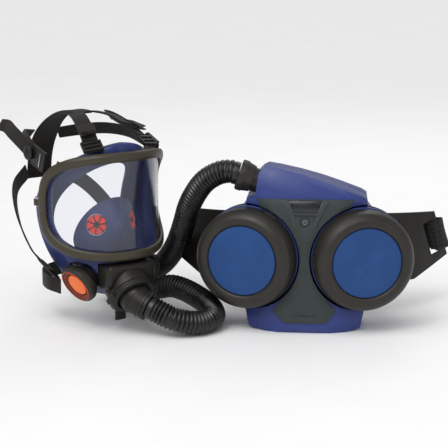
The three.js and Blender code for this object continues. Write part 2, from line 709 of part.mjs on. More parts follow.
function exhaleMatrix(sign) {
  return aimY(mirrored(VALVE_PLACE, sign), mirrored(VALVE_AXIS, sign));
}

function exhaleBody() {
  return lathe([
    [9, -16], [16.5, -16], [16.5, -10], [21.5, -9.5], [VALVE_RADIUS, -6], [VALVE_RADIUS, 1.5], [21.5, 4],
    [18.5, 3.4], [14.3, 0.4], [14.3, -4], [9, -4],
  ]);
}

/** The swivelling ring that locks the elbow to the port, with two grip lobes. */
function connectorRing() {
  const ring = disc(28.5, 3.8, 11, 20.6);
  const lobe = block(vec(26, 4.4, -8), vec(32.5, 10.4, 8));
  return joined([ring, lobe, lobe.rotate([0, 180, 0])]);
}

/** The elbow turns the hose's way into the port, and is bored through. */
function elbow(corner, outlet) {
  const reach = outlet.length();
  const along = aimY(corner, outlet);
  const sphere = (radius) => new THREE.IcosahedronGeometry(radius, 2);
  const ball = (radius) => solid(sphere(radius).translate(corner.x, corner.y, corner.z));
  const outer = joined([
    moved(disc(ELBOW_RADIUS + 1, 4.2, ELBOW_RISE), aimY(PORT, PORT_AXIS)),
    ball(ELBOW_RADIUS + 0.5),
    moved(disc(ELBOW_RADIUS, 0, reach - 5.6), along),
    moved(disc(14.5, 0, reach - 1), along),
  ]);
  const bore = joined([
    moved(disc(12, -10, ELBOW_RISE), aimY(PORT, PORT_AXIS)),
    ball(12.4),
    moved(disc(12, 0, 60), along),
  ]);
  return outer.subtract(bore);
}

function maskConnection() {
  const hoseEnd = vec(...HOSE_ROUTE[HOSE_ROUTE.length - 1]).applyMatrix4(maskGroup.matrix.clone().invert());
  const corner = PORT.clone().addScaledVector(PORT_AXIS, ELBOW_RISE);
  const outlet = hoseEnd.clone().sub(corner);
  const clip = disc(ELBOW_RADIUS - 0.5, outlet.length() - 5.2, outlet.length() - 1, 14.8);
  const bend = elbow(corner, outlet);
  return [
    piece("elbow", bend, BLACK_PLASTIC),
    piece("connector_ring", moved(connectorRing(), aimY(PORT, PORT_AXIS)), BLACK_PLASTIC),
    piece("hose_clip", moved(clip, aimY(corner, outlet)), BLACK_PLASTIC),
  ];
}

function faceAndValves() {
  const valveRoom = disc(VALVE_RADIUS + GAP, -17, 8);
  const valveCut = joined(SIDES.map(({ sign }) => moved(valveRoom, exhaleMatrix(sign))));
  const inhaleCut = joined(SIDES.map(({ sign }) =>
    moved(disc(12.3, -12, 8), aimY(mirrored(INHALE_PLACE, sign), mirrored(INHALE_AXIS, sign)))));
  const diaphragm = moved(disc(18.7, -23.4, -21.8), aimY(PORT, PORT_AXIS));
  const pieces = [
    piece("facepiece", facepiece([chinBlank(GAP), valveCut]), BLUE_SILICONE),
    piece("inner_mask", innerMask([chinBlank(GAP), inhaleCut]), BLUE_SILICONE),
    piece("chin_housing", chinHousing(valveCut), BLACK_PLASTIC),
    piece("speech_diaphragm", diaphragm, STEEL),
  ];
  for (const { name, sign } of SIDES) {
    const inhale = disc(12, -1, 1);
    const inhaleMatrix = aimY(mirrored(INHALE_PLACE, sign), mirrored(INHALE_AXIS, sign));
    pieces.push(
      piece(`exhale_body_${name}`, moved(exhaleBody(), exhaleMatrix(sign)), BLACK_PLASTIC),
      piece(`exhale_disc_${name}`, moved(disc(13.5, -3.6, 1.6), exhaleMatrix(sign)), ORANGE),
      piece(`inhale_valve_${name}`, moved(inhale, inhaleMatrix), RED_MEMBRANE),
    );
  }
  return pieces;
}

// ---- Harness ----
/** Side vectors that lay a strap flat on the head. */
function sidesOnHead(points) {
  return points.map((p, i) => {
    const along = points[Math.min(i + 1, points.length - 1)].clone().sub(points[Math.max(i - 1, 0)]);
    const out = p.clone().sub(HEAD_CENTRE).divide(HEAD_SIZE).divide(HEAD_SIZE);
    return along.cross(out);
  });
}

function strap(points, width = STRAP_WIDTH, steps = 12) {
  const path = smooth(points, steps);
  return ribbon(path, sidesOnHead(path), width, STRAP_THICKNESS);
}

/** The pad behind the head and the band over the crown are one piece. */
function headPad() {
  const lowest = -4;
  const highest = 97;
  const steps = 16;
  const points = [];
  const widths = [];
  for (let i = 0; i <= steps; i += 1) {
    const degrees = lowest + ((highest - lowest) * i) / steps;
    const angle = THREE.MathUtils.degToRad(degrees);
    points.push(vec(0, HEAD_CENTRE.y + (HEAD_SIZE.y + 3) * Math.cos(angle),
      HEAD_CENTRE.z + (HEAD_SIZE.z + 3) * Math.sin(angle)));
    widths.push(34 - 10 * THREE.MathUtils.smoothstep(degrees, 30, 70));
  }
  return ribbon(points, points.map(() => vec(1, 0, 0)), widths, 2.4);
}

/** A buckle with two slots, lying in a strap's plane. */
function buckle(middle, along, out, length) {
  const width = 24;
  const bars = [-0.22, 0.22].map((share) => {
    const place = middle.clone().addScaledVector(along.clone().normalize(), share * length);
    return slab(place, along, out, width - 5, length * 0.15, 20);
  });
  return slab(middle, along, out, width, length, 4).subtract(joined(bars));
}

function harnessSide({ name, sign }) {
  const at = (x, y, z) => vec(sign * x, y, z);
  const forehead = [at(13, 11, 97.5), at(22, -14, 94.5), at(30, -40, 84), at(35.5, -57, 74.5)];
  const temple = [at(77.4, 0.4, 57), at(71, 30, 66), at(59, 60, 68), at(40, 91, 64), at(19.5, 107.5, 60)];
  const tail = [at(78.6, 0.6, 58), at(79, 22, 67.5), at(77, 48, 76), at(74, 68, 81), at(76, 80, 81)];
  const lower = [at(60.5, 15, -76), at(62, 35, -66), at(64, 62, -34), at(48, 98, -2), at(19.8, 118.5, 14)];
  const foreheadBuckle = buckle(at(37.5, -64, 69.5), at(2, -10, -7), at(0.3, -0.6, 1), 15);
  const templeBuckle = buckle(at(77.5, -13, 53), at(0.05, 0.94, 0.32), at(1, 0, 0), 26);
  const lowerBuckle = buckle(at(60, 1, -81.5), at(0, 0.94, 0.35), at(1, 0.1, -1.1), 26);
  return [
    piece(`forehead_strap_${name}`, strap(forehead), BLACK_STRAP),
    piece(`forehead_buckle_${name}`, foreheadBuckle, BLACK_PLASTIC),
    piece(`temple_strap_${name}`, strap(temple).add(strap(tail, 16)), BLACK_STRAP),
    piece(`temple_buckle_${name}`, templeBuckle, BLACK_PLASTIC),
    piece(`lower_strap_${name}`, strap(lower), BLACK_STRAP),
    piece(`lower_buckle_${name}`, lowerBuckle, BLACK_PLASTIC),
  ];
}

function neckStrap() {
  const route = [vec(-50, -8, -103), vec(-52, 20, -102), vec(-37, 52, -101), vec(0, 66, -100)];
  const whole = [...route, ...route.slice(0, -1).reverse().map((p) => mirrored(p, -1))];
  const path = smooth(whole, 20);
  return ribbon(path, path.map(() => vec(0, 0, 1)), STRAP_WIDTH, STRAP_THICKNESS);
}

// ---- Assembly ----
const respirator = new THREE.Group();
respirator.add(
  ...shells(),
  ...controls(),
  ...FILTER_SIDES.map(filterSet),
  outlet(),
  ...driveTrain(),
  ...belt(),
  hose(),
  maskGroup,
);
maskGroup.add(
  visor(),
  ...visorFrame(),
  ...faceAndValves(),
  ...maskConnection(),
  piece("head_pad", headPad(), BLACK_STRAP),
  ...SIDES.flatMap(harnessSide),
  piece("neck_strap", neckStrap(), BLACK_STRAP),
);

export default respirator;
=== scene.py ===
"""The looks of a powered air respirator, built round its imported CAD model.

Lengths in this script are millimetres in the part's own frame. mesh_object() turns them into metres.
"""
import math

import bmesh
import bpy
import numpy as np
from mathutils import Matrix, Vector


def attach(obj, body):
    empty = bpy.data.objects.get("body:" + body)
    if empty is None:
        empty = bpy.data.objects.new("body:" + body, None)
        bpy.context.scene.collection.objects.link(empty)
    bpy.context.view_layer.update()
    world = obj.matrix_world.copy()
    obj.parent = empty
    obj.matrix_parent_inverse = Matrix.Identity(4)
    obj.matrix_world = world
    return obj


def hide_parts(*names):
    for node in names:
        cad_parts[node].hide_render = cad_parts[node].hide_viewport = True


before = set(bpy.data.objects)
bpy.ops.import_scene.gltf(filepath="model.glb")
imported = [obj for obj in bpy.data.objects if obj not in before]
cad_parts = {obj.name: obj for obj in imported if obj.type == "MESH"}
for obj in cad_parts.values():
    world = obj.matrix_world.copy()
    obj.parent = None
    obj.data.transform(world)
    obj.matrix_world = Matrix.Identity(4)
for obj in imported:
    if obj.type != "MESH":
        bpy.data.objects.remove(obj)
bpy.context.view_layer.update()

MM = 0.001
ROOT = "fan_unit_and_mask"
SIDES = (("left", -1), ("right", 1))

# ---- Dimensions shared with the CAD model ----
FILTER_PLACE = (61.0, -10.0, 87.0)
FILTER_SPLAY = math.radians(15)
POCKET_RADIUS = 62.2
OUTLET = (-60.0, -6.0, 174.0)
OUTLET_AXIS = (-0.945, 0.0, 0.326)
MASK_PLACE = (-255.0, 9.0, 150.0)
MASK_TURN = math.radians(42)
PORT = (0.0, -80.0, -100.0)
PORT_AXIS = (0.0, -0.788, -0.616)
ELBOW_RISE = 14.0
VALVE_PLACE = (48.0, -44.0, -93.5)
VALVE_AXIS = (0.87, -0.14, -0.46)
INHALE_PLACE = (24.0, -49.0, -25.0)
INHALE_AXIS = (0.62, -0.75, 0.2)
VISOR_HALF_WIDTH, VISOR_DEPTH, VISOR_MEAN_RADIUS = 77.0, 86.0, 82.0
VISOR_HALF_ARC, VISOR_HALF_HEIGHT = 117.0, 62.5
VISOR_SQUARENESS, VISOR_DROOP = 2.9, 1.0
FRAME_SEAM = -11.0
HEAD_CENTRE, HEAD_SIZE = np.array((0.0, 26.0, 10.0)), np.array((73.0, 93.0, 84.0))
STRAP_WIDTH, STRAP_THICKNESS = 18.0, 1.8
EDGE_THINNING = 0.35
WING_CURVE, WING_START = 0.0531, 50
SILICONE_GAP = 0.3
HOSE_RADIUS = 14.0
HOSE_ROUTE = [
    (-78.7, -6, 180.5), (-88, -6, 183), (-98, -4, 182), (-107, -1.5, 178), (-116, 2, 172),
    (-124, 7, 163.5), (-131, 13, 153), (-137, 20, 142), (-142, 28, 130), (-147, 39, 114),
    (-153, 51, 97), (-160, 65, 80), (-169, 79, 64), (-179, 94, 50), (-190, 108, 39),
    (-203, 119, 29.5), (-218, 123.5, 21.5), (-233, 116.5, 16.5), (-241, 102, 14.4),
    (-240.5, 86, 14.4), (-232, 71, 15.5), (-217, 58.5, 19.5), (-200, 49, 24.5), (-181, 41, 29.5),
    (-162.7, 33.5, 34), (-147, 24, 32.5), (-132, 12.5, 28.5), (-118, 0, 23.5), (-109, -15, 18.5),
    (-106, -31, 15.5), (-110.5, -46, 14.4), (-121, -58, 14.6), (-135, -66, 17.5),
    (-150, -69.3, 22), (-165.4, -66.5, 28.7), (-176, -63.6, 33.4),
]


# ---- Vectors, placements and curves ----
def vec(*values):
    return np.array(values, float)


def unit(vector):
    vector = np.asarray(vector, float)
    return vector / np.linalg.norm(vector)


def square_to(vector, along):
    """The direction of a vector once its share along another is taken away."""
    return unit(vector - along * np.dot(vector, along))


def axes_of(along, out):
    """Three square directions, with Y along the first and Z as near the second as it can be."""
    y = unit(along)
    z = square_to(np.asarray(out, float), y)
    return np.cross(y, z), y, z


def smoothstep(value, low, high):
    share = min(max((value - low) / (high - low), 0.0), 1.0)
    return share * share * (3 - 2 * share)


def aim_y(place, axis):
    """The matrix that puts the origin at a place and turns +Y to an axis."""
    turn = Vector((0, 1, 0)).rotation_difference(Vector(unit(axis)))
    return Matrix.Translation(Vector(place)) @ turn.to_matrix().to_4x4()


MASK = Matrix.Translation(MASK_PLACE) @ Matrix.Rotation(MASK_TURN, 4, "Z")


def filter_place(sign):
    x, y, z = FILTER_PLACE
    return Matrix.Translation((sign * x, y, z)) @ Matrix.Rotation(sign * FILTER_SPLAY, 4, "Z")


def mirrored(point, sign):
    return vec(sign * point[0], point[1], point[2])


def spline(points, count):
    """A smooth centripetal curve through points, as count + 1 evenly spaced points."""
    points = np.asarray(points, float)
    ends = np.vstack([2 * points[0] - points[1], points, 2 * points[-1] - points[-2]])
    dense = []
    for i in range(1, len(ends) - 2):
        p0, p1, p2, p3 = ends[i - 1:i + 3]
        d1, d2, d3 = (max(np.linalg.norm(b - a) ** 0.5, 1e-6) for a, b in ((p0, p1), (p1, p2), (p2, p3)))
        m1 = ((p1 - p0) / d1 - (p2 - p0) / (d1 + d2) + (p2 - p1) / d2) * d2
        m2 = ((p2 - p1) / d2 - (p3 - p1) / (d2 + d3) + (p3 - p2) / d3) * d2
        for s in np.linspace(0, 1, 24, endpoint=False):
            a, b = 2 * s ** 3 - 3 * s ** 2 + 1, s ** 3 - 2 * s ** 2 + s
            dense.append(a * p1 + b * m1 + (1 - a) * p2 + (s ** 3 - s ** 2) * m2)
    dense = np.vstack([dense, points[-1]])
    run = np.concatenate([[0], np.cumsum(np.linalg.norm(np.diff(dense, axis=0), axis=1))])
    at = np.linspace(0, run[-1], count + 1)
    return np.column_stack([np.interp(at, run, dense[:, k]) for k in range(3)])


def length_of(points):
    return float(np.linalg.norm(np.diff(points, axis=0), axis=1).sum())


def tangents(points, closed=False):
    if closed:
        steps = np.roll(points, -1, axis=0) - np.roll(points, 1, axis=0)
    else:
        steps = np.gradient(points, axis=0)
    return steps / np.linalg.norm(steps, axis=1)[:, None]


def side_vectors(points, start):
    """Side vectors carried along a curve without twist."""
    along = tangents(points)
    side = vec(*start)
    sides = []
    for t in along:
        side = square_to(side, t)
        sides.append(side)
    return along, np.array(sides)


def filleted(profile, radius, steps=4, closed=True):
    """A polyline in two dimensions with its corners rounded."""
    points = [vec(*p) for p in profile]
    count = len(points)
    result = []
    for i, corner in enumerate(points):
        if not closed and i in (0, count - 1):
            result.append(corner)
            continue
        before, after = points[i - 1] - corner, points[(i + 1) % count] - corner
        reach = min(radius, 0.45 * np.linalg.norm(before), 0.45 * np.linalg.norm(after))
        a, b = corner + unit(before) * reach, corner + unit(after) * reach
        for s in np.linspace(0, 1, steps + 1):
            result.append((1 - s) ** 2 * a + 2 * s * (1 - s) * corner + s * s * b)
    return result


# ---- Shapes: points, faces, and each face's material number ----
class Shape:
    def __init__(self):
        self.points, self.faces, self.finishes, self.uvs = [], [], [], []

    def add(self, grid, finish=0, place=None):
        """Adds points and faces, with an optional UV for each point."""
        points, faces = grid[0], grid[1]
        uvs = grid[2] if len(grid) > 2 else [(0.0, 0.0)] * len(points)
        start = len(self.points)
        for p in points:
            self.points.append(tuple(place @ Vector(p)) if place is not None else tuple(p))
        self.uvs.extend(uvs)
        self.faces.extend(tuple(start + i for i in face) for face in faces)
        self.finishes.extend([finish] * len(faces))
        return self


def loft(rings, closed=False, caps=True):
    """Faces between rings of points. Closed joins the last ring to the first."""
    rings = [np.asarray(ring, float) for ring in rings]
    count, total = len(rings[0]), len(rings)
    faces = []
    for i in range(total if closed else total - 1):
        here, after = i * count, ((i + 1) % total) * count
        for j in range(count):
            k = (j + 1) % count
            faces.append((here + j, here + k, after + k, after + j))
    if caps and not closed:
        faces.append(tuple(reversed(range(count))))
        faces.append(tuple(range((total - 1) * count, total * count)))
    return np.vstack(rings), faces


def lathe(profile, segments=96):
    """Pairs of radius and height, turned about Y. A profile that misses the axis closes into a ring."""
    on_axis = profile[0][0] < 1e-9 or profile[-1][0] < 1e-9
    rings = []
    for radius, height in profile:
        turn = np.linspace(0, 2 * math.pi, segments, endpoint=False)
        radius = max(radius, 0.02)
        level = np.full(segments, height)
        rings.append(np.column_stack([radius * np.sin(turn), level, radius * np.cos(turn)]))
    return loft(rings, closed=not on_axis, caps=on_axis)


def disc(radius, low, high, bore=0.0, soft=0.4, segments=96):
    """A disc, or a ring, with softened edges."""
    if bore:
        return lathe(filleted([(bore, low), (radius, low), (radius, high), (bore, high)], soft), segments)
    edge = filleted([(0, low), (radius, low), (radius, high), (0, high)], soft, closed=False)
    return lathe(edge, segments)


def tube(points, radii, sides=24, start=(0, 0, 1)):
    """A round bar along points, with one radius or one for each point."""
    points = np.asarray(points, float)
    radii = np.broadcast_to(np.asarray(radii, float), (len(points),))
    along, across = side_vectors(points, start)
    turn = np.linspace(0, 2 * math.pi, sides, endpoint=False)
    rings = []
    for p, t, s, r in zip(points, along, across, radii):
        up = np.cross(t, s)
        rings.append(p + r * (np.cos(turn)[:, None] * s + np.sin(turn)[:, None] * up))
    return loft(rings)


def ribbon(points, sides, width, thickness, across=8):
    """A woven strap along points, soft at its edges, with UVs in metres for its weave."""
    points = np.asarray(points, float)
    along = tangents(points)
    width = np.broadcast_to(np.asarray(width, float), (len(points),))
    run = np.concatenate([[0], np.cumsum(np.linalg.norm(np.diff(points, axis=0), axis=1))])
    half = thickness / 2
    shares = np.concatenate([[-1], np.linspace(-0.97, 0.97, across + 1), [1]])
    rings, uvs = [], []
    for i, (p, t) in enumerate(zip(points, along)):
        side = square_to(sides[i], t)
        out = np.cross(t, side)
        ring = []
        for face in (1, -1):
            for share in (shares if face == 1 else shares[::-1]):
                lift = half * (EDGE_THINNING if abs(share) == 1 else 1.0) * face
                ring.append(p + side * share * width[i] / 2 + out * lift)
                uvs.append((share * width[i] / 2 * MM, run[i] * MM))
        rings.append(ring)
    grid, faces = loft(rings)
    return grid, faces, uvs


def slab(middle, along, out, size, soft=0.8):
    """A softened block with its width, length and thickness along three directions."""
    x, y, z = axes_of(along, out)
    half = np.asarray(size, float) / 2
    soft = min(soft, 0.45 * min(size))
    block = bmesh.new()
    bmesh.ops.create_cube(block, size=2)
    for v in block.verts:
        v.co = Vector((v.co.x * half[0], v.co.y * half[1], v.co.z * half[2]))
    bmesh.ops.bevel(block, geom=list(block.edges), offset=soft, segments=3, profile=0.5, affect="EDGES")
    points = [np.asarray(middle, float) + x * v.co.x + y * v.co.y + z * v.co.z for v in block.verts]
    faces = [tuple(v.index for v in face.verts) for face in block.faces]
    block.free()
    return points, faces


def spokes(count, start=0.0):
    """Directions square to Y, evenly round it."""
    turns = [2 * math.pi * i / count + start for i in range(count)]
    return [vec(math.sin(turn), 0, math.cos(turn)) for turn in turns]


def prism(outline, low, high, axes="xz"):
    """An outline in two of the axes, extruded along the third."""
    third = ({"x", "y", "z"} - set(axes)).pop()
    rings = []
    for level in (low, high):
        rings.append([[{axes[0]: a, axes[1]: b, third: level}[k] for k in "xyz"] for a, b in outline])
    return loft(rings)


# ---- From shapes to pieces ----
def mesh_object(name, shape):
    mesh = bpy.data.meshes.new(name)
    mesh.from_pydata([tuple(c * MM for c in p) for p in shape.points], [], shape.faces)
    mesh.polygons.foreach_set("material_index", shape.finishes)
    layer = mesh.uv_layers.new(name="weave")
    corners = [shape.uvs[loop.vertex_index] for loop in mesh.loops]
    layer.data.foreach_set("uv", [c for uv in corners for c in uv])
    return link(name, mesh)


def link(name, mesh):
    obj = bpy.data.objects.new(name, mesh)
    bpy.context.scene.collection.objects.link(obj)
    return obj


def tidy(obj):
    """Turns every face outwards."""
    edit = bmesh.new()
    edit.from_mesh(obj.data)
    bmesh.ops.recalc_face_normals(edit, faces=edit.faces)
    edit.to_mesh(obj.data)
    edit.free()


def apply_modifiers(obj):
    bpy.context.view_layer.update()
    shown = obj.evaluated_get(bpy.context.evaluated_depsgraph_get())
    mesh = bpy.data.meshes.new_from_object(shown)
    obj.modifiers.clear()
    obj.data = mesh


def cut(obj, cutters, kind="DIFFERENCE"):
    """Cuts shapes out of an object, or joins them to it."""
    for shape in cutters:
        tool = mesh_object("cutter", shape)
        tidy(tool)
        step = obj.modifiers.new("cut", "BOOLEAN")
        step.operation, step.object, step.solver = kind, tool, "EXACT"
        apply_modifiers(obj)
        bpy.data.objects.remove(tool)


def soften(obj, width, segments=2):
    """Rounds an object's edges."""
    step = obj.modifiers.new("soften", "BEVEL")
    step.width, step.segments, step.limit_method = width * MM, segments, "ANGLE"
    step.angle_limit, step.harden_normals = math.radians(35), False
    apply_modifiers(obj)


def settle(obj, body, materials, angle=38):
    """Gives a piece its finish, its shading and the body that it rides on."""
    for material in materials if isinstance(materials, (list, tuple)) else [materials]:
        obj.data.materials.append(material)
    obj.data.shade_smooth()
    obj.data.set_sharp_from_angle(angle=math.radians(angle))
    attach(obj, body)
    return obj


def make(name, shape, body, materials, replaces=(), place=None, angle=38, bevel=0.0):
    """A finished piece from a shape, standing for the CAD nodes it replaces."""
    if place is not None:
        shape.points = [tuple(place @ Vector(p)) for p in shape.points]
    obj = mesh_object(name, shape)
    tidy(obj)
    if bevel:
        soften(obj, bevel)
    settle(obj, body, materials, angle)
    if replaces:
        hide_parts(*replaces)
    return obj


def softened_copy(node, body, materials, width, paint=None):
    """A CAD node's own shape with soft edges. paint picks a material for a face by its centre and normal."""
    obj = link(node + "_skin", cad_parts[node].data.copy())
    obj.data.materials.clear()
    edit = bmesh.new()
    edit.from_mesh(obj.data)
    bmesh.ops.remove_doubles(edit, verts=edit.verts, dist=0.02 * MM)
    bmesh.ops.dissolve_limit(edit, angle_limit=math.radians(1.2), verts=edit.verts, edges=edit.edges)
    edit.to_mesh(obj.data)
    edit.free()
    soften(obj, width)
    settle(obj, body, materials)
    for face in obj.data.polygons:
        face.material_index = paint(np.array(face.center) / MM, np.array(face.normal)) if paint else 0
    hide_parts(node)
    return obj


# ---- Materials ----
class Look:
    """A node material, built by naming nodes and feeding them into each other."""

    def __init__(self, name):
        self.material = bpy.data.materials.new(name)
        self.material.use_nodes = True
        self.tree = self.material.node_tree
        self.tree.nodes.clear()
        self.output = self.node("ShaderNodeOutputMaterial")

    def node(self, kind, inputs=(), **settings):
        made = self.tree.nodes.new(kind)
        for key, value in settings.items():
            setattr(made, key, value)
        for key, value in dict(inputs).items():
            self.feed(made.inputs[key], value)
        return made

    def feed(self, socket, value):
        """Links a socket to an output, or sets its value."""
        if isinstance(value, bpy.types.NodeSocket):
            self.tree.links.new(value, socket)
        else:
            socket.default_value = value

    def where(self):
        return self.node("ShaderNodeTexCoord").outputs["Object"]

    def noise(self, scale, detail=3.0, roughness=0.55, where=None, distortion=0.0):
        return self.node("ShaderNodeTexNoise", {
            "Vector": where or self.where(), "Scale": scale, "Detail": detail,
            "Roughness": roughness, "Distortion": distortion}).outputs["Fac"]

    def cells(self, scale, where=None):
        return self.node("ShaderNodeTexVoronoi", {
            "Vector": where or self.where(), "Scale": scale}).outputs["Distance"]

    def math(self, operation, a, b=0.0, c=0.0):
        made = self.node("ShaderNodeMath", operation=operation)
        for socket, value in zip(made.inputs, (a, b, c)):
            self.feed(socket, value)
        return made.outputs[0]

    def ramp(self, value, low, high, to_low=0.0, to_high=1.0):
        made = self.node("ShaderNodeMapRange", {
            "Value": value, "From Min": low, "From Max": high, "To Min": to_low, "To Max": to_high})
        return made.outputs["Result"]

    def spread(self, value, to_low=0.0, to_high=1.0):
        """A noise's usual spread, stretched over a range."""
        return self.ramp(value, 0.3, 0.7, to_low, to_high)

    def blend(self, share, a, b):
        """A colour between two colours. Either may be a plain colour or a socket."""
        return self.node("ShaderNodeMix", {0: share, 6: a, 7: b}, data_type="RGBA").outputs[2]

    def bump(self, height, strength, distance, under=None):
        inputs = {"Height": height, "Strength": strength, "Distance": distance}
        if under is not None:
            inputs["Normal"] = under
        return self.node("ShaderNodeBump", inputs).outputs["Normal"]

    def surface(self, **inputs):
        shader = self.node("ShaderNodeBsdfPrincipled", {k.replace("_", " "): v for k, v in inputs.items()})
        self.tree.links.new(shader.outputs["BSDF"], self.output.inputs["Surface"])
        return self.material


def linear(hex_colour, gain=1.0):
    """An sRGB colour written as six hex digits, as the scene's linear colour."""
    values = [int(hex_colour[i:i + 2], 16) / 255 for i in (0, 2, 4)]
    spread = [v / 12.92 if v <= 0.04045 else ((v + 0.055) / 1.055) ** 2.4 for v in values]
    return (*[min(gain * v, 1.0) for v in spread], 1.0)


def moulded(name, colour, roughness, grain=0.12, grain_scale=1400, wear=0.3, specular=0.3, streak=0.0):
    """An injection moulding: spark-eroded grain, faint flow marks, handling marks and paler edges."""
    look = Look(name)
    cloud = look.noise(22, 4, 0.6, distortion=0.4)
    fine = look.noise(grain_scale, 2, 0.5)
    pits = look.cells(grain_scale * 0.8)
    edge = look.ramp(look.node("ShaderNodeNewGeometry").outputs["Pointiness"], 0.52, 0.6)
    scuffed = look.math("MULTIPLY", edge, look.ramp(look.noise(160, 5, 0.7), 0.42, 0.62, 0.1, 1.0))
    tone = look.blend(look.spread(cloud), linear(colour, 0.9), linear(colour, 1.12))
    tone = look.blend(look.spread(fine, 0.0, 0.22), tone, linear(colour, 0.72))
    tone = look.blend(look.math("MULTIPLY", scuffed, wear), tone, linear(colour, 1.9))
    smudge = look.noise(55, 5, 0.65, distortion=1.2)
    rough = look.math("ADD", look.spread(smudge, roughness - 0.06, roughness + 0.07),
                      look.spread(fine, -0.03, 0.03))
    if streak:
        flow = look.node("ShaderNodeMapping", {"Vector": look.where(), "Scale": (3, 3, 60)}).outputs[0]
        rough = look.math("ADD", rough, look.spread(look.noise(30, 2, where=flow), -streak, streak))
    height = look.math("ADD", fine, look.math("MULTIPLY", pits, 0.6))
    normal = look.bump(height, grain, 0.00012)
    normal = look.bump(look.noise(28, 2), 0.06, 0.002, normal)
    return look.surface(Base_Color=tone, Roughness=rough, Normal=normal, Specular_IOR_Level=specular)


def rubbery(name, colour, roughness, bloom=0.12, grain=0.1, specular=0.3):
    """Rubber or silicone: soft ripples, fine grain and a pale dusty bloom in patches."""
    look = Look(name)
    patch = look.noise(35, 5, 0.65, distortion=0.8)
    dust = look.ramp(look.math("MULTIPLY", patch, look.noise(420, 4, 0.7)), 0.2, 0.42)
    tone = look.blend(look.spread(patch), linear(colour, 0.85), linear(colour, 1.15))
    grey = linear("b9bac4", 0.5)
    tone = look.blend(look.math("MULTIPLY", dust, bloom), tone, grey)
    rough = look.ramp(patch, 0.3, 0.72, roughness - 0.05, roughness + 0.12)
    normal = look.bump(look.noise(900, 3, 0.6), grain, 0.0001)
    normal = look.bump(look.noise(45, 2), 0.12, 0.0015, normal)
    return look.surface(Base_Color=tone, Roughness=rough, Normal=normal, Specular_IOR_Level=specular)


def woven(name, colour, warp=0.0016, weft=0.0011, rib=0.0, sheen=0.1):
    """Webbing: crossing yarns from the strap's own UVs with painted shade in the grooves between them, stray
    fibres and rubbed high spots.
    """
    look = Look(name)
    uv = look.node("ShaderNodeUVMap", uv_map="weave").outputs["UV"]
    parts = look.node("ShaderNodeSeparateXYZ", {"Vector": uv})
    wobble = look.spread(look.noise(300, 2), -0.25, 0.25)
    across = look.math("ADD", look.math("MULTIPLY", parts.outputs["X"], 2 * math.pi / warp), wobble)
    along = look.math("ADD", look.math("MULTIPLY", parts.outputs["Y"], 2 * math.pi / weft), wobble)
    yarns = look.math("MULTIPLY", look.math("SINE", across), look.math("SINE", along))
    twist = look.math("SINE", look.math("MULTIPLY", look.math("ADD", across, along), 3.0))
    height = look.math("ADD", look.ramp(yarns, -1, 1), look.math("MULTIPLY", twist, 0.08))
    if rib:
        lane = look.math("SINE", look.math("MULTIPLY", parts.outputs["X"], 2 * math.pi / rib))
        height = look.math("ADD", height, look.math("MULTIPLY", lane, 0.5))
    fibre = look.noise(2400, 3, 0.7)
    rubbed = look.ramp(look.noise(90, 5, 0.7), 0.45, 0.7)
    # Painted shade: the colour darkens from the yarn tops down into the grooves between them.
    tone = look.blend(look.ramp(height, 0.1, 1.0), linear(colour, 0.45), linear(colour, 1.15))
    tone = look.blend(look.ramp(fibre, 0.45, 0.75, 0.0, 0.35), tone, linear(colour, 2.2))
    tone = look.blend(look.math("MULTIPLY", rubbed, 0.25), tone, linear(colour, 1.9))
    rough = look.ramp(height, 0, 1, 0.92, 0.72)
    normal = look.bump(height, 0.7, 0.00025)
    normal = look.bump(fibre, 0.15, 0.0001, normal)
    return look.surface(Base_Color=tone, Roughness=rough, Normal=normal, Specular_IOR_Level=0.15,
                        Sheen_Weight=sheen, Sheen_Roughness=0.5)


def metal(name, colour, roughness):
    """Turned or brushed metal with fine scratches and faint tarnish."""
    look = Look(name)
    stretched = look.node("ShaderNodeMapping", {"Vector": look.where(), "Scale": (1, 1, 22)}).outputs[0]
    brush = look.noise(700, 4, 0.7, where=stretched)
    stain = look.noise(60, 4, 0.6)
    tone = look.blend(look.ramp(stain, 0.35, 0.7), linear(colour), linear(colour, 0.72))
    rough = look.math("ADD", look.spread(brush, roughness - 0.08, roughness + 0.1),
                      look.ramp(stain, 0.35, 0.7, 0, 0.1))
    normal = look.bump(brush, 0.15, 0.0001)
    return look.surface(Base_Color=tone, Roughness=rough, Normal=normal, Metallic=1.0)


def clear_sheet(name, tint, haze, haze_share):
    """A thin clear wall: it lets the view through with a faint tint, shines, and is a little hazed."""
    look = Look(name)
    through = look.node("ShaderNodeBsdfTransparent", {"Color": tint})
    smear = look.noise(40, 5, 0.6, distortion=1.5)
    speck = look.noise(900, 3, 0.7)
    shine = look.node("ShaderNodeBsdfGlossy", {
        "Color": (1, 1, 1, 1), "Roughness": look.ramp(smear, 0.35, 0.7, 0.03, 0.09),
        "Normal": look.bump(look.noise(14, 1), 0.02, 0.002)})
    dull = look.node("ShaderNodeBsdfDiffuse", {
        "Color": look.blend(look.ramp(speck, 0.4, 0.7, 0, 0.5), haze, (0.8, 0.82, 0.88, 1))})
    hazed = look.node("ShaderNodeMixShader", {
        "Fac": look.spread(smear, 0.75 * haze_share, 1.25 * haze_share),
        1: through.outputs[0], 2: dull.outputs[0]})
    edge_on = look.node("ShaderNodeLayerWeight", {"Blend": 0.5}).outputs["Facing"]
    angle = look.math("MULTIPLY_ADD", look.math("POWER", edge_on, 4.0), 0.7, 0.03)
    mixed = look.node("ShaderNodeMixShader", {
        "Fac": angle, 1: hazed.outputs[0], 2: shine.outputs[0]})
    look.tree.links.new(mixed.outputs[0], look.output.inputs["Surface"])
    return look.material


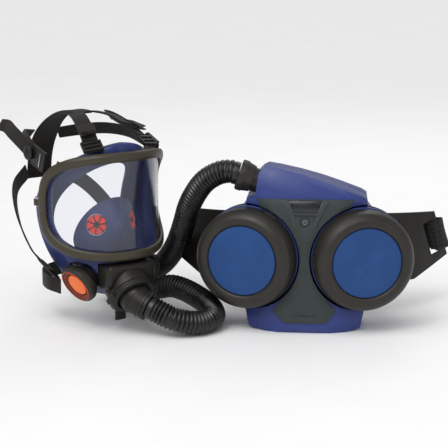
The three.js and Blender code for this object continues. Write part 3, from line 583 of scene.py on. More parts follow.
def screen(name):
    """The smoked display window: glossy, nearly black, with faint smears."""
    look = Look(name)
    smear = look.noise(70, 5, 0.6, distortion=1.5)
    tone = look.blend(look.spread(smear), linear("12171a"), linear("1c2225"))
    rough = look.ramp(smear, 0.35, 0.7, 0.12, 0.3)
    normal = look.bump(look.noise(200, 2), 0.03, 0.0002)
    return look.surface(Base_Color=tone, Roughness=rough, Normal=normal, Specular_IOR_Level=0.5)


def fleece(name):
    """The prefilter's bonded fibre."""
    look = Look(name)
    fibre = look.noise(1500, 6, 0.8, distortion=3.0)
    tone = look.blend(look.spread(fibre), linear("cfcdc4"), linear("f2f1ec"))
    normal = look.bump(fibre, 0.6, 0.0003)
    return look.surface(Base_Color=tone, Roughness=look.spread(fibre, 0.85, 1.0), Normal=normal)


def board(name):
    """Green circuit laminate with a faint pattern of tracks under the mask."""
    look = Look(name)
    tracks = look.node("ShaderNodeTexBrick", {
        "Vector": look.where(), "Scale": 260.0, "Mortar Size": 0.03,
        "Color1": linear("1f5c3a"), "Color2": linear("24683f"), "Mortar": linear("3f8a55")})
    normal = look.bump(tracks.outputs["Fac"], 0.3, 0.00005)
    rough = look.spread(look.noise(90), 0.3, 0.45)
    return look.surface(Base_Color=tracks.outputs["Color"], Roughness=rough, Normal=normal)


SHELL_BLUE = moulded("shell_blue", "303d78", 0.34, grain=0.08, streak=0.02)
RIM_BLUE = moulded("rim_blue", "2a3b78", 0.4, grain=0.08)
COVER_BLUE = moulded("cover_blue", "24457a", 0.6, grain=0.35, grain_scale=1100, wear=0.2, specular=0.2)
PANEL_GREY = moulded("panel_grey", "353c3b", 0.5, grain=0.25, grain_scale=1200, wear=0.25, specular=0.25)
BAR_GREY = moulded("bar_grey", "8b9493", 0.42)
HOLDER_BROWN = moulded("holder_brown", "2b2925", 0.4, grain=0.16, wear=0.15, streak=0.02)
BELT_BROWN = moulded("belt_brown", "211f1d", 0.46, grain=0.22, wear=0.25, specular=0.25)
BLACK = moulded("black_moulding", "1a1917", 0.4, grain=0.15)
CHIN_BLACK = moulded("chin_moulding", "1f1d19", 0.38, grain=0.14)
FRAME_BROWN = moulded("frame_brown", "3a3528", 0.4, specular=0.35, streak=0.02)
ORANGE = moulded("orange_cap", "ff7a35", 0.42, wear=0.1)
SEAT_RUBBER = rubbery("seat_rubber", "0c0c0b", 0.6, specular=0.15)
HOSE_RUBBER = rubbery("hose_rubber", "0b0b09", 0.27, bloom=0.07, grain=0.06, specular=0.45)
SILICONE = rubbery("blue_silicone", "223068", 0.36, specular=0.35)
CUP_SILICONE = rubbery("cup_silicone", "1f2c5c", 0.4)
MEMBRANE = rubbery("red_membrane", "e8250c", 0.4, bloom=0.06)
LINE_ORANGE = rubbery("orange_ring", "d8481c", 0.45, bloom=0.06)
STRAP = woven("harness_webbing", "1f1c19")
BELT_WEB = woven("belt_webbing", "191a17", warp=0.002, weft=0.0015, rib=0.006)
BUCKLED = moulded("strap_in_buckle", "14120f", 0.8, grain=0.5, grain_scale=900, wear=0.1, specular=0.1)
THREAD = woven("stitching", "38342e", warp=0.0006, weft=0.0005)
STEEL = metal("bright_steel", "c3c7cb", 0.28)
VISOR_CLEAR = clear_sheet("visor_clear", (0.95, 0.96, 0.98, 1), linear("8f96b4"), 0.02)
WINDOW = screen("display_smoked")
PAD_WHITE = fleece("filter_fleece")
LAMINATE = board("green_laminate")


# ---- Camera, light and floor ----
def studio():
    """The camera at the photograph's angle, a white world, a soft skylight, three lamps and a pale floor."""
    scene = bpy.context.scene
    scene.view_settings.view_transform = "Standard"
    azimuth, elevation, distance = math.radians(5), math.radians(12), 1700 * MM
    target = Vector((-95.5, -8.4, 121.0)) * MM
    back = Vector((math.sin(azimuth) * math.cos(elevation), -math.cos(azimuth) * math.cos(elevation),
                   math.sin(elevation)))
    lens = bpy.data.cameras.new("camera")
    lens.sensor_width, lens.lens = 36.0, 116.76
    camera = link("camera", lens)
    camera.location = target + back * distance
    camera.rotation_euler = back.to_track_quat("Z", "Y").to_euler()
    scene.camera = camera

    world = bpy.data.worlds.new("studio")
    world.use_nodes = True
    world.node_tree.nodes["Background"].inputs["Color"].default_value = (1.0, 1.0, 1.0, 1)
    world.node_tree.nodes["Background"].inputs["Strength"].default_value = 0.45
    scene.world = world

    daylight = bpy.data.lights.new("skylight", "SUN")
    daylight.energy, daylight.angle = 1.75, math.radians(60)
    skylight = link("skylight", daylight)
    skylight.rotation_euler = (math.radians(38), 0, math.radians(-20))

    lamps = (
        ("key", (-500, -1200, 1500), 500, 5.0),
        ("fill", (1300, -900, 700), 600, 1.5),
        ("rim", (200, 1300, 1300), 800, 3.0),
    )
    for name, place, size, power in lamps:
        light = bpy.data.lights.new(name, "AREA")
        light.shape, light.size, light.energy = "DISK", size * MM, power
        lamp = link(name, light)
        lamp.location = Vector(place) * MM
        aim = Vector((-80, 0, 90)) * MM - lamp.location
        lamp.rotation_euler = aim.to_track_quat("-Z", "Y").to_euler()

    look = Look("pale_floor")
    tone = look.blend(look.spread(look.noise(6, 4)), (0.93, 0.93, 0.93, 1), (0.95, 0.95, 0.95, 1))
    paint = look.surface(Base_Color=tone, Roughness=look.spread(look.noise(30, 4), 0.7, 0.85))
    reach, level = 9000, -0.4
    corners = [(x * reach, y * reach, level) for x, y in ((-1, -1), (1, -1), (1, 1), (-1, 1))]
    floor = Shape().add((corners, [(0, 1, 2, 3)]))
    ground = mesh_object("floor", floor)
    ground.data.materials.append(paint)


# ---- Hose ----
def hose():
    """The breathing hose: round ribs along the whole route, with a plain cuff at each end."""
    pitch, groove, cuff = 4.4, 1.9, 7.0
    steps_per_rib = 8
    length = length_of(spline(HOSE_ROUTE, 2000))
    ribs = round(length / pitch)
    path = spline(HOSE_ROUTE, ribs * steps_per_rib)
    run = np.linspace(0, length, len(path))
    wave = (1 + np.cos(2 * math.pi * np.arange(len(path)) / steps_per_rib)) / 2
    radii = HOSE_RADIUS - groove * (1 - wave ** 0.6)
    for i, at in enumerate(run):
        near_end = min(at, length - at)
        radii[i] += (HOSE_RADIUS - 0.6 - radii[i]) * (1 - smoothstep(near_end, cuff - 2, cuff))
    shape = Shape().add(tube(path, radii, sides=40))
    skin = make("breathing_hose", shape, ROOT, HOSE_RUBBER, replaces=["hose"], angle=80)


studio()
hose()


# ---- Fan unit ----
def pocket_shade_paint(centre, normal):
    """Dark inside the filter pockets, as painted shade for the shadow round each filter; plain elsewhere and
    on the flat front between them.
    """
    if normal[1] < -0.9 and centre[1] < -38:
        return 0
    for _, sign in SIDES:
        local = filter_place(sign).inverted() @ Vector(centre)
        # Painted shade: faces round each pocket take the black seat rubber.
        if math.hypot(local.x, local.z) < POCKET_RADIUS + 1.2:
            return 1
    return 0


def panel_paint(centre, normal):
    """The raised bars each side of the window are paler than the panel."""
    x, z = abs(centre[0]), centre[2]
    outside = x - (11.5 + 15.5 * (z - 125) / 31)
    inside = x - (8 + 5.5 * (z - 100) / 39.5 if z < 139.5 else 14 + 5.5 * (z - 142) / 13.5)
    return 1 if z > 125.5 and outside < 0.4 and inside > -0.4 and centre[1] < -24 else 0


def fan_unit():
    # The shell's second material, the black seat rubber, is painted shade on its pocket walls.
    softened_copy("front_shell", ROOT, [SHELL_BLUE, SEAT_RUBBER], 0.9, pocket_shade_paint)
    softened_copy("rear_shell", ROOT, [SHELL_BLUE], 0.9)
    softened_copy("centre_panel", ROOT, [PANEL_GREY, BAR_GREY], 0.5, panel_paint)
    softened_copy("display_window", ROOT, [WINDOW], 0.3)
    slot_floor = Shape().add(slab((0, -42.4, 21.2), (1, 0, 0), (0, -1, 0), (2.2, 26.6, 0.6)))
    make("panel_slot_floor", slot_floor, ROOT, [PANEL_GREY])
    carried = {
        "motor": STEEL, "impeller": BLACK, "volute": BLACK, "circuit_board": LAMINATE,
        "outlet_spigot": BLACK,
    }
    for node, material in carried.items():
        dress(node, material)
    softened_copy("battery_pack", "battery", [BLACK], 0.8)


def dress(node, material):
    """Gives a CAD node that keeps its own shape a better material."""
    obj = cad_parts[node]
    obj.data.materials.clear()
    obj.data.materials.append(material)


def outlet_collar():
    """The knurled collar that locks the hose to the outlet."""
    profile = [(14.3, 2), (15.2, 2), (17.3, 11), (18, 11.6), (18, 18.4), (17, 19.4), (14.3, 19.4)]
    shape = Shape().add(lathe(filleted(profile, 0.9)))
    for out in spokes(30):
        shape.add(slab(out * 17.9 + vec(0, 15, 0), (0, 1, 0), out, (1.5, 5.6, 0.8), 0.3))
    make("collar_skin", shape, "collar", HOLDER_BROWN, ["outlet_collar"],
         aim_y(OUTLET, OUTLET_AXIS))


def filters():
    """Each filter: a rubber seat, a blue cartridge rim, a domed holder ring and a textured cover."""
    rim = [(18, 12), (22, 12), (22, -6.3), (59.5, -6.3), (59.5, -15.5), (57, -15.5), (57, -30), (18, -30)]
    dome = [(57.3, -30.3), (57.3, -16), (58.5, -16), (58.5, -28), (58.1, -33), (56.4, -37.6), (53.4, -41.2),
            (49.6, -43.6), (46, -44.4), (43.4, -44.1), (41.6, -43), (40.95, -41.6), (40.95, -37), (48, -36.6),
            (53, -33.5)]
    face = [(0, -36.5), (40.55, -36.5), (40.55, -41.6), (39.9, -42.4), (38.4, -42.75), (30, -43.05),
            (15, -43.35), (0, -43.4)]
    for name, sign in SIDES:
        place, body = filter_place(sign), f"filter_{name}"
        make(f"seat_{name}", Shape().add(disc(60, -6, -0.3, 22.3, 0.8)), ROOT, SEAT_RUBBER,
             [f"filter_seat_{name}"], place)
        cartridge = Shape().add(lathe(filleted(rim, 0.7), 128))
        make(f"cartridge_{name}", cartridge, body, RIM_BLUE, [f"filter_cartridge_{name}"],
             place)
        holder = Shape().add(lathe(filleted(dome, 0.8, 3), 160))
        for out in spokes(3, 0.5):
            holder.add(slab(out * 58.2 + vec(0, -19.5, 0), (0, 1, 0), out, (14, 5.5, 1.6), 0.5))
        make(f"holder_{name}", holder, body, HOLDER_BROWN, [f"filter_holder_{name}"], place)
        cover = Shape().add(lathe(face, 160))
        make(f"cover_{name}", cover, body, COVER_BLUE, [f"filter_cover_{name}"], place,
             bevel=0.2)
        dress(f"prefilter_{name}", PAD_WHITE)


def button():
    """The power button, with the plain on-off sign raised on it."""
    profile = [(0, -32), (5.5, -32), (5.5, -39), (5.1, -39.5), (4.2, -39.3), (0, -38.9)]
    shape = Shape().add(lathe(profile, 48))
    arc = np.linspace(math.radians(120), math.radians(420), 20)
    shape.add(tube([(2.3 * math.cos(a), -39.1, 2.3 * math.sin(a)) for a in arc], 0.28, 8), 1)
    shape.add(tube([(0, -39.1, 0.8), (0, -39.1, 3.1)], 0.28, 8, start=(1, 0, 0)), 1)
    make("button_cap", shape, "button", [PANEL_GREY, BAR_GREY], ["power_button"],
         Matrix.Translation((0, 0, 131)))


fan_unit()
outlet_collar()
filters()
button()


# ---- Belt ----
def wing_slope(x):
    """How steeply the belt plate's wing curves back, this far from the middle."""
    return WING_CURVE * 1.5 * math.sqrt(max(x - WING_START, 0))


def belt():
    """The belt plate with its ribs and rivets, the webbing round its wings and the side-release buckle."""
    softened_copy("belt_plate", ROOT, [BELT_BROWN], 0.7)
    softened_copy("buckle_socket", ROOT, [BLACK], 0.9)
    softened_copy("buckle_plug", ROOT, [BLACK], 0.9)
    trim = Shape()
    for _, sign in SIDES:
        for x, z in ((118, 52), (127, 56), (112, 112)):
            slope = wing_slope(x)
            face = vec(sign * x, 35.3 + WING_CURVE * (x - WING_START) ** 1.5, z)
            out = unit((sign * slope, -1, 0))
            stud = aim_y(face - out * 0.4, out)
            trim.add(disc(2.2, 0, 1.1, 0, 0.5, 24), 0, stud)
    make("belt_studs", trim, ROOT, [BLACK])

    route = [(34, 48, 84), (60, 50, 84), (100, 68, 85), (132, 96, 86), (152, 110.5, 89), (161, 115, 91),
             (167, 112.5, 91.8), (168.3, 106, 91.8), (163.5, 97.3, 91), (158.5, 92.6, 90.3),
             (155, 89.6, 89.8), (152.3, 90, 89.4), (151.3, 94.2, 88.9), (147.5, 96.5, 88.4)]
    for name, sign in SIDES:
        points = spline([mirrored(p, sign) for p in route], 90)
        turn = 0.0
        sides = []
        for p in points:
            turn = max(turn, smoothstep(abs(p[0]), 60, 150)) if p[1] > 45 else turn
            tilt = 0.3 * turn
            slope = wing_slope(abs(p[0])) * sign
            sides.append(vec(-sign * tilt, -tilt * slope, 1))
        band = Shape().add(ribbon(points, sides, 38, 1.6, across=14))
        make(f"belt_strap_{name}", band, ROOT, [BELT_WEB], [f"webbing_{name}"], angle=60)


belt()


# ---- Mask: the visor and what clamps it ----
def on_wall(arc, z, out):
    angle = arc / VISOR_MEAN_RADIUS
    drop = VISOR_DROOP * (arc / VISOR_HALF_ARC) ** 2
    return vec((VISOR_HALF_WIDTH + out) * math.sin(angle), -(VISOR_DEPTH + out) * math.cos(angle), z - drop)


def rounded(value, power):
    return math.copysign(abs(value) ** power, value)


def on_rim(turn, grow, out, scale=1.0):
    power = 2 / VISOR_SQUARENESS
    arc = scale * (VISOR_HALF_ARC + grow) * rounded(math.cos(turn), power)
    return on_wall(arc, scale * (VISOR_HALF_HEIGHT + grow) * rounded(math.sin(turn), power), out)


def even_turns(count):
    """Turns that space the rim's points evenly, where its corners would crowd them."""
    fine = np.linspace(0, 2 * math.pi, 4000, endpoint=False)
    points = np.array([on_rim(t, 0, 0) for t in fine])
    gaps = np.linalg.norm(np.roll(points, -1, axis=0) - points, axis=1)
    run = np.concatenate([[0], np.cumsum(gaps)])
    return np.interp(np.linspace(0, run[-1], count, endpoint=False), run, np.append(fine, 2 * math.pi))


RIM_TURNS = even_turns(168)


def visor():
    scales = [0.004, 0.12, 0.25, 0.4, 0.55, 0.7, 0.82, 0.91, 0.97, 1]
    face = [[on_rim(t, -5.6, -0.4, s) for t in RIM_TURNS] for s in scales]
    back = [[on_rim(t, -5.6, -2.2, s) for t in RIM_TURNS] for s in reversed(scales)]
    make("visor_pane", Shape().add(loft(face + back)), ROOT, [VISOR_CLEAR], ["visor"],
         MASK, angle=60)


def frame_half(turns):
    section = filleted([(-11, 0.9), (-10.4, 4.2), (-8, 5.5), (-3, 5.5), (0, 3.5), (0, -5), (-2.5, -5),
                        (-2.5, 0.8)], 1.2, 3)
    return loft([[on_rim(t, grow, out) for grow, out in section] for t in turns])


def visor_frame():
    """The two frame halves, with a boss and a screw at each side where they meet."""
    fine = np.linspace(-math.pi / 2, math.pi / 2, 6000)
    heights = np.array([on_rim(t, 0, 0)[2] for t in fine])
    at = {part: float(fine[np.argmin(np.abs(heights - FRAME_SEAM - gap))])
          for part, gap in (("upper", 0.15), ("lower", -0.15))}
    spans = {"upper": (at["upper"], math.pi - at["upper"]),
             "lower": (math.pi - at["lower"], 2 * math.pi + at["lower"])}
    for part, (low, high) in spans.items():
        around = np.concatenate([RIM_TURNS, RIM_TURNS + 2 * math.pi])
        inner = sorted(t for t in around if low + 0.01 < t < high - 0.01)
        shape = Shape().add(frame_half([low, *inner, high]))
        for _, sign in SIDES if part == "upper" else ():
            boss = aim_y(on_wall(sign * (VISOR_HALF_ARC + 4), 2, 0), (0, 0, 1))
            shape.add(disc(5.4, -3, 4.5, 2.9, 0.7, 40), 0, boss)
        make(f"frame_{part}_rim", shape, ROOT, [FRAME_BROWN], [f"frame_{part}"], MASK,
             angle=50)
    for name, _ in SIDES:
        dress(f"screw_{name}", STEEL)


# ---- Mask: silicone ----
def mask_mid(turn):
    high = math.sin(turn) > 0
    return vec(71 * math.cos(turn), 5 - (77 if high else 83) * math.sin(turn) ** 2,
               (70.5 if high else 100) * math.sin(turn))


def mask_seal(turn):
    high = math.sin(turn) > 0
    return vec(59 * math.cos(turn), 18 * math.cos(turn) ** 2 + (-46 if high else -12) * math.sin(turn) ** 2,
               -25 + 88 * math.sin(turn))


def soft_wall(lines, thickness):
    """A soft wall between an outer and an inner skin, joined at both edges."""
    lines = np.array(lines)
    before, after = np.roll(lines, 1, axis=0), np.roll(lines, -1, axis=0)
    along = np.gradient(lines, axis=1)
    normal = np.cross(after - before, along)
    normal /= np.linalg.norm(normal, axis=2)[:, :, None]
    inner = lines + normal * thickness
    depth = lines.shape[1]
    rings = [lines[:, j] for j in range(depth)] + [inner[:, j] for j in reversed(range(depth))]
    return loft(rings, closed=True)


def chin_blank(margin):
    """The chin housing's outer form, for the housing and for the hole it needs in the silicone."""
    outline = [(-84, -96), (-66, -98), (-56, -92), (-56, -67), (-90, -67)]
    middle = vec(*np.mean(outline, axis=0))
    grown = [middle + (vec(*p) - middle) * (1 + margin / 20) for p in outline]
    wedge = Shape().add(prism([(y, z) for y, z in grown], -33 - margin, 33 + margin, "yz"))
    port = Shape().add(disc(27 + margin, -25 - margin, 3.4 + margin, 0, 0.6), 0, aim_y(PORT, PORT_AXIS))
    size = (14 + 2 * margin, 50, 3 + 2 * margin)
    tab = Shape().add(slab((0, -59.5, -115), (0, 0, 1), (0, 1, 0), size, 0.8))
    return wedge, port, tab


def valve_place(sign):
    return aim_y(mirrored(VALVE_PLACE, sign), mirrored(VALVE_AXIS, sign))


def valve_rooms():
    """The room that each exhalation valve needs in the housing and the silicone."""
    return [Shape().add(disc(24.3, -17, 8), 0, valve_place(sign)) for _, sign in SIDES]


def silicone_piece(name, lines, thickness, holes, material, node):
    """A soft wall with holes for the chin housing and for whatever else passes through it."""
    obj = mesh_object(name, Shape().add(soft_wall(lines, thickness)))
    tidy(obj)
    cut(obj, [*chin_blank(SILICONE_GAP), *holes])
    obj.data.transform(scaled(MASK))
    settle(obj, ROOT, [material], 60)
    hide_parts(node)


def facepiece():
    """The silicone face seal, from the visor's rim round the cheeks to its turned-in lip."""
    lines = []
    for t in RIM_TURNS:
        seal = mask_seal(t)
        lip = vec(seal[0] * 0.78, seal[1] - 8, -25 + (seal[2] + 25) * 0.8)
        route = [on_rim(t, -6, -3), on_rim(t, -6, -6), on_rim(t, -6, -10), mask_mid(t), seal, lip]
        lines.append(spline(route, 30))
    silicone_piece("face_seal", lines, 2.2, valve_rooms(), SILICONE, "facepiece")


def scaled(matrix):
    """A millimetre placement as a metre one."""
    result = matrix.copy()
    result.translation = matrix.translation * MM
    return result


def nose_cup():
    """The nose cup: a ridge from the nose to the chin, with a flat cheek each side for its valve."""
    lines = []
    for t in np.linspace(0, 2 * math.pi, 120, endpoint=False):
        c, s = math.cos(t), math.sin(t)
        high, low = max(s, 0), max(-s, 0)
        wide = math.copysign(abs(c) ** 0.85, c)
        rim = vec(42 * wide, -26 - 26 * high ** 2 - 8 * low, -45 + 50 * math.copysign(abs(s) ** 1.15, s))
        mouth = vec(13 * wide, -55, -72 + 11 * s)
        ridge = math.exp(-(c / 0.3) ** 2) * high
        middle = (rim + mouth) / 2 + vec(6 * c, -7 - 7 * ridge, 5 * high)
        lines.append(spline([mouth, middle, rim], 18))
    holes = [Shape().add(disc(12.3, -12, 8), 0, inhale_place(sign)) for _, sign in SIDES]
    silicone_piece("nose_cup", lines, 1.8, holes, CUP_SILICONE, "inner_mask")


def inhale_place(sign):
    return aim_y(mirrored(INHALE_PLACE, sign), mirrored(INHALE_AXIS, sign))


def inhale_valves():
    """Each inhalation valve: a dark seat with a hub, under a red membrane of seven petals."""
    petals = 7
    for name, sign in SIDES:
        shape = Shape().add(disc(12, -1, 0.2, 0, 0.3, 64), 1)
        half = math.pi / petals
        for i in range(petals):
            turn = 2 * math.pi * (i + 0.5) / petals
            outline = [(radius, spread * half) for radius, spread in ((3.6, 0.50), (7.5, 0.74), (11.0, 0.80))]
            edge = outline + [(11.6, 0)] + [(r, -a) for r, a in reversed(outline)]
            corners = [(r * math.sin(turn + a), r * math.cos(turn + a)) for r, a in edge]
            shape.add(prism(corners, 0.1, 0.8, "xz"))
        shape.add(disc(2.6, 0.1, 1.2, 0, 0.4, 24), 1)
        make(f"petals_{name}", shape, ROOT, [MEMBRANE, SEAT_RUBBER], [f"inhale_valve_{name}"],
             MASK @ inhale_place(sign))


visor()
visor_frame()
facepiece()
nose_cup()
inhale_valves()


# ---- Mask: chin housing, valves and hose connection ----
def chin_housing():
    """The rigid wedge under the visor that carries the port, with the tab below the chin."""
    wedge, port, tab = chin_blank(0)
    obj = mesh_object("chin_wedge", wedge)
    tidy(obj)
    soften(obj, 6.0, segments=5)
    for extra in (port, tab):
        cut(obj, [extra], "UNION")
    bore = [Shape().add(disc(19, -23.8, 10), 0, aim_y(PORT, PORT_AXIS)),
            Shape().add(disc(15, -60, 0), 0, aim_y(PORT, PORT_AXIS))]
    cut(obj, bore + valve_rooms())
    obj.data.transform(scaled(MASK))
    settle(obj, ROOT, [CHIN_BLACK], 32)
    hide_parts("chin_housing")
    dress("speech_diaphragm", STEEL)


def exhale_valves():
    """Each exhalation valve: a stepped ring with thin orange lines round a clip-in orange disc."""
    ring = [(9, -16), (16.5, -16), (16.5, -10), (21.5, -9.5), (24, -6), (24, 0.8), (22.2, 3.2), (20.6, 3.9),
            (19.4, 3.7), (18.8, 2.6), (17.6, 2.5), (17.0, 1.6), (15.9, 1.5), (15.3, 0.4), (14.3, 0.2),
            (14.3, -4), (9, -4)]
    for name, sign in SIDES:
        place = MASK @ valve_place(sign)
        shape = Shape().add(lathe(filleted(ring, 0.5, 3), 96))
        for radius, height in ((20.0, 3.9), (17.9, 2.6), (16.0, 1.6)):
            turn = np.linspace(0, 2 * math.pi, 96, endpoint=False)
            path = np.column_stack([radius * np.sin(turn), np.full(96, height), radius * np.cos(turn)])
            section = np.linspace(0, 2 * math.pi, 8, endpoint=False)
            rings = [[p + 0.26 * (math.cos(a) * unit((p[0], 0, p[2])) + math.sin(a) * vec(0, 1, 0))
                      for a in section] for p in path]
            shape.add(loft(rings, closed=True), 1)
        for out in spokes(36):
            shape.add(slab(out * 23.9 + vec(0, -2.6, 0), (0, 1, 0), out, (1.3, 5.2, 0.7), 0.25))
        make(f"exhale_ring_{name}", shape, ROOT, [HOLDER_BROWN, LINE_ORANGE],
             [f"exhale_body_{name}"], place)
        cap = Shape().add(lathe([(0, -3.6), (13.5, -3.6), (13.5, 1.0), (13.1, 1.5), (12.4, 1.55), (11.8, 1.1),
                                 (11.0, 1.05), (6, 1.35), (0, 1.5)], 96))
        make(f"exhale_cap_{name}", cap, f"exhale_{name}", [ORANGE], [f"exhale_disc_{name}"], place,
             bevel=0.1)


def connection():
    """The locking ring, the elbow and the clip that hold the hose to the port."""
    place = MASK @ aim_y(PORT, PORT_AXIS)
    profile = [(20.6, 3.8), (27.3, 3.8), (28.5, 5), (28.5, 7.2), (27.4, 7.8), (27.4, 9.6), (25.6, 11),
               (20.6, 11)]
    ring = Shape().add(lathe(filleted(profile, 0.5, 3), 128))
    for sign in (1, -1):
        ring.add(slab((sign * 29.2, 7.4, 0), (0, 1, 0), (sign, 0, 0), (16, 6, 6.4), 1.6))
        for k in range(-2, 3):
            ring.add(slab((sign * 32.1, 7.4, 2.6 * k), (0, 1, 0), (sign, 0, 0), (1.1, 5.0, 0.8), 0.3))
    make("lock_ring_skin", ring, "lock_ring", [BLACK], ["connector_ring"], place)

    into_mask = MASK.inverted()
    hose_end = np.array(into_mask @ Vector(HOSE_ROUTE[-1]))
    axis = unit(PORT_AXIS)
    corner = vec(*PORT) + axis * ELBOW_RISE
    outlet = hose_end - corner
    reach = np.linalg.norm(outlet)
    way = outlet / reach
    start, end = vec(*PORT) + axis * 4.2, corner + way * (reach - 5.8)
    points, radii = [], []
    steps = 48
    for s in np.linspace(0, 1, steps):
        points.append((1 - s) ** 2 * start + 2 * s * (1 - s) * corner + s * s * end)
        radii.append(20.3 - 1.4 * smoothstep(s, 0, 0.12) - 2.4 * smoothstep(s, 0.35, 1.0))
    side = np.cross(axis, way)
    bend = Shape().add(tube(points, radii, 72, start=side))
    bend.add(lathe(filleted([(12.2, 0), (14.4, 0), (14.4, reach - 1.2), (12.2, reach - 1.2)], 0.3), 72), 0,
             aim_y(corner, way))
    for at in (0.52, 0.86):
        i = int(at * (steps - 1))
        outer = radii[i] + 0.7
        bead = lathe(filleted([(12, -1.0), (outer, -1.0), (outer, 1.0), (12, 1.0)], 0.6), 72)
        bend.add(bead, 0, aim_y(points[i], tangents(np.array(points))[i]))
    make("elbow_bend", bend, ROOT, [CHIN_BLACK], ["elbow"], MASK)
    clip = Shape().add(lathe(filleted([(14.8, 0), (17, 0), (17, 4.2), (14.8, 4.2)], 0.5), 72))
    clip.add(slab((0, 2.1, 17.6), (0, 1, 0), (0, 0, 1), (6.5, 3.6, 2.2), 0.5))
    make("clip_band", clip, ROOT, [BLACK], ["hose_clip"],
         MASK @ aim_y(corner + way * (reach - 5.2), way))


# ---- Harness ----
def on_head_sides(points):
    """Side vectors that lay a strap flat on the head."""
    outward = (np.asarray(points) - HEAD_CENTRE) / HEAD_SIZE ** 2
    return np.cross(tangents(points), outward)


def strap_band(points, width=STRAP_WIDTH):
    path = spline(points, 48)
    return ribbon(path, on_head_sides(path), width, STRAP_THICKNESS)


def stitches(shape, points, sides, lift):
    """A row of thread stitches along a line on a strap, lifted off its middle surface."""
    pitch = 2.6
    path = spline(points, max(4, int(length_of(np.asarray(points)) / pitch)))
    along = tangents(path)
    for i in range(len(path) - 1):
        side = unit(sides[min(i * len(sides) // len(path), len(sides) - 1)])
        side = square_to(side, along[i])
        out = np.cross(along[i], side)
        middle = path[i] + out * lift
        reach = along[i] * pitch * 0.32
        shape.add(tube([middle - reach, middle + out * 0.12, middle + reach], 0.22, 6, start=side), 1)


def head_pad():
    lowest, highest, steps = -4, 97, 72
    points, widths = [], []
    for degrees in np.linspace(lowest, highest, steps + 1):
        angle = math.radians(degrees)
        points.append(vec(0, HEAD_CENTRE[1] + (HEAD_SIZE[1] + 3) * math.cos(angle),
                          HEAD_CENTRE[2] + (HEAD_SIZE[2] + 3) * math.sin(angle)))
        widths.append(34 - 10 * smoothstep(degrees, 30, 70))
    points = np.array(points)
    sides = np.tile(vec(1, 0, 0), (len(points), 1))
    shape = Shape().add(ribbon(points, sides, widths, 2.4, across=12))
    for edge in (1, -1):
        reach = [p + vec(edge * (w / 2 - 2.2), 0, 0) for p, w in zip(points, widths)]
        for lift in (-1.25, 1.25):
            stitches(shape, reach, sides, lift)
    make("crown_band", shape, ROOT, [STRAP, THREAD], ["head_pad"], MASK, angle=60)


def ladder(shape, middle, along, out, size, bars=2, teeth=0, round_tab=0.0):
    """A strap buckle: a frame with cross bars round its strap, and any teeth or round thumb tab."""
    width, length, thick = size
    x, y, z = axes_of(along, out)
    middle = np.asarray(middle, float)
    rail = 2.2
    for sign in (1, -1):
        shape.add(slab(middle + x * sign * (width / 2 - rail / 2), y, z, (rail, length, thick), 0.7))
    for share in np.linspace(-0.5, 0.5, bars + 1):
        at = middle + y * share * (length - 3.0)
        shape.add(slab(at, y, z, (width - 1.2, 3.0, thick * 0.85), 0.8))
    shape.add(slab(middle, y, z, (width - 4.8, length + 5.0, 1.0), 0.3), 1)
    for k in range(teeth):
        at = middle + y * (length * (k + 0.5) / teeth - length / 2)
        for sign in (1, -1):
            shape.add(slab(at + z * sign * thick * 0.5, y, z, (width * 0.62, length / teeth * 0.5, 1.4), 0.4))
    if round_tab:
        shape.add(slab(middle, y, z, (width - 1.0, length - 1.0, thick * 0.8), 0.8))
        shape.add(slab(middle - y * 5.0 + z * (thick * 0.5 + 0.3), y, z, (width * 0.7, 1.4, 0.6), 0.2), 2)
        tab = aim_y(middle + y * (length / 2 + round_tab * 0.35) + z * 4.6, z)
        shape.add(disc(round_tab, -1.1, 1.3, 0, 0.7, 48), 0, tab)
        for k in range(-2, 3):
            at = middle + y * (length / 2 + round_tab * 0.35 + 2.2 * k) + z * 6.0
            shape.add(slab(at, x, z, (0.9, round_tab * 1.1, 0.7), 0.3))


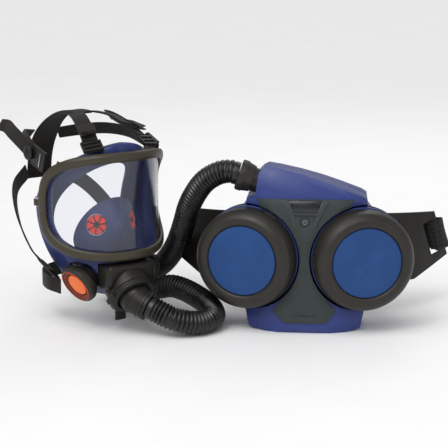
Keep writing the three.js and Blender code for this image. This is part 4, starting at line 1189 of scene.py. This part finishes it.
def harness():
    """Each side's forehead, temple and lower strap, and the buckle that each runs to."""
    for name, sign in SIDES:
        def at(*p):
            return mirrored(p, sign)

        def web(kind, *bands):
            shape = Shape()
            for band in bands:
                shape.add(band)
            make(f"{kind}_web_{name}", shape, ROOT, [STRAP, THREAD], [f"{kind}_strap_{name}"],
                 MASK, angle=60)

        def buckle(kind, body, materials, *facts, **parts):
            shape = Shape()
            ladder(shape, *facts, **parts)
            make(f"{kind}_ladder_{name}", shape, body, materials,
                 [f"{kind}_buckle_{name}"], MASK)

        forehead = [at(13, 11, 97.5), at(22, -14, 94.5), at(30, -40, 84), at(35.5, -57, 74.5)]
        flap = [at(27, -30, 88.5), at(31.5, -42, 85.5), at(34.5, -52, 82.5), at(36.5, -56, 84.5),
                at(33.5, -49, 87.5), at(30, -38, 90.5)]
        web("forehead", strap_band(forehead), strap_band(flap, 17))
        buckle("forehead", ROOT, [BLACK, BUCKLED], at(37.5, -64, 69.5), at(2, -10, -7), at(0.3, -0.6, 1),
               (24, 15, 4), bars=2)

        temple = [at(77.4, 0.4, 57), at(71, 30, 66), at(59, 60, 68), at(40, 91, 64), at(19.5, 107.5, 60)]
        tail = [at(78.6, 0.6, 58), at(79, 22, 67.5), at(77, 48, 76), at(74, 68, 81), at(76, 80, 81)]
        web("temple", strap_band(temple), strap_band(tail, 16))
        buckle("temple", f"temple_{name}", [BLACK, BUCKLED, STEEL], at(77.5, -13, 53), at(0.05, 0.94, 0.32),
               at(1, 0, 0), (24, 26, 4), bars=3, round_tab=8.5)

        lower = [at(60.5, 15, -76), at(62, 35, -66), at(64, 62, -34), at(48, 98, -2), at(19.8, 118.5, 14)]
        web("lower", strap_band(lower))
        buckle("lower", ROOT, [BLACK, BUCKLED], at(60, 1, -81.5), at(0, 0.94, 0.35), at(1, 0.1, -1.1),
               (24, 26, 3.4), bars=3, teeth=5)


def neck_strap():
    half = [(-50, -8, -103), (-52, 20, -102), (-37, 52, -101), (0, 66, -100)]
    route = half + [(-x, y, z) for x, y, z in reversed(half[:-1])]
    path = spline(route, 96)
    sides = np.tile(vec(0, 0, 1), (len(path), 1))
    shape = Shape().add(ribbon(path, sides, STRAP_WIDTH, STRAP_THICKNESS, across=10))
    make("neck_band", shape, ROOT, [STRAP, THREAD], ["neck_strap"], MASK, angle=60)


chin_housing()
exhale_valves()
connection()
head_pad()
harness()
neck_strap()
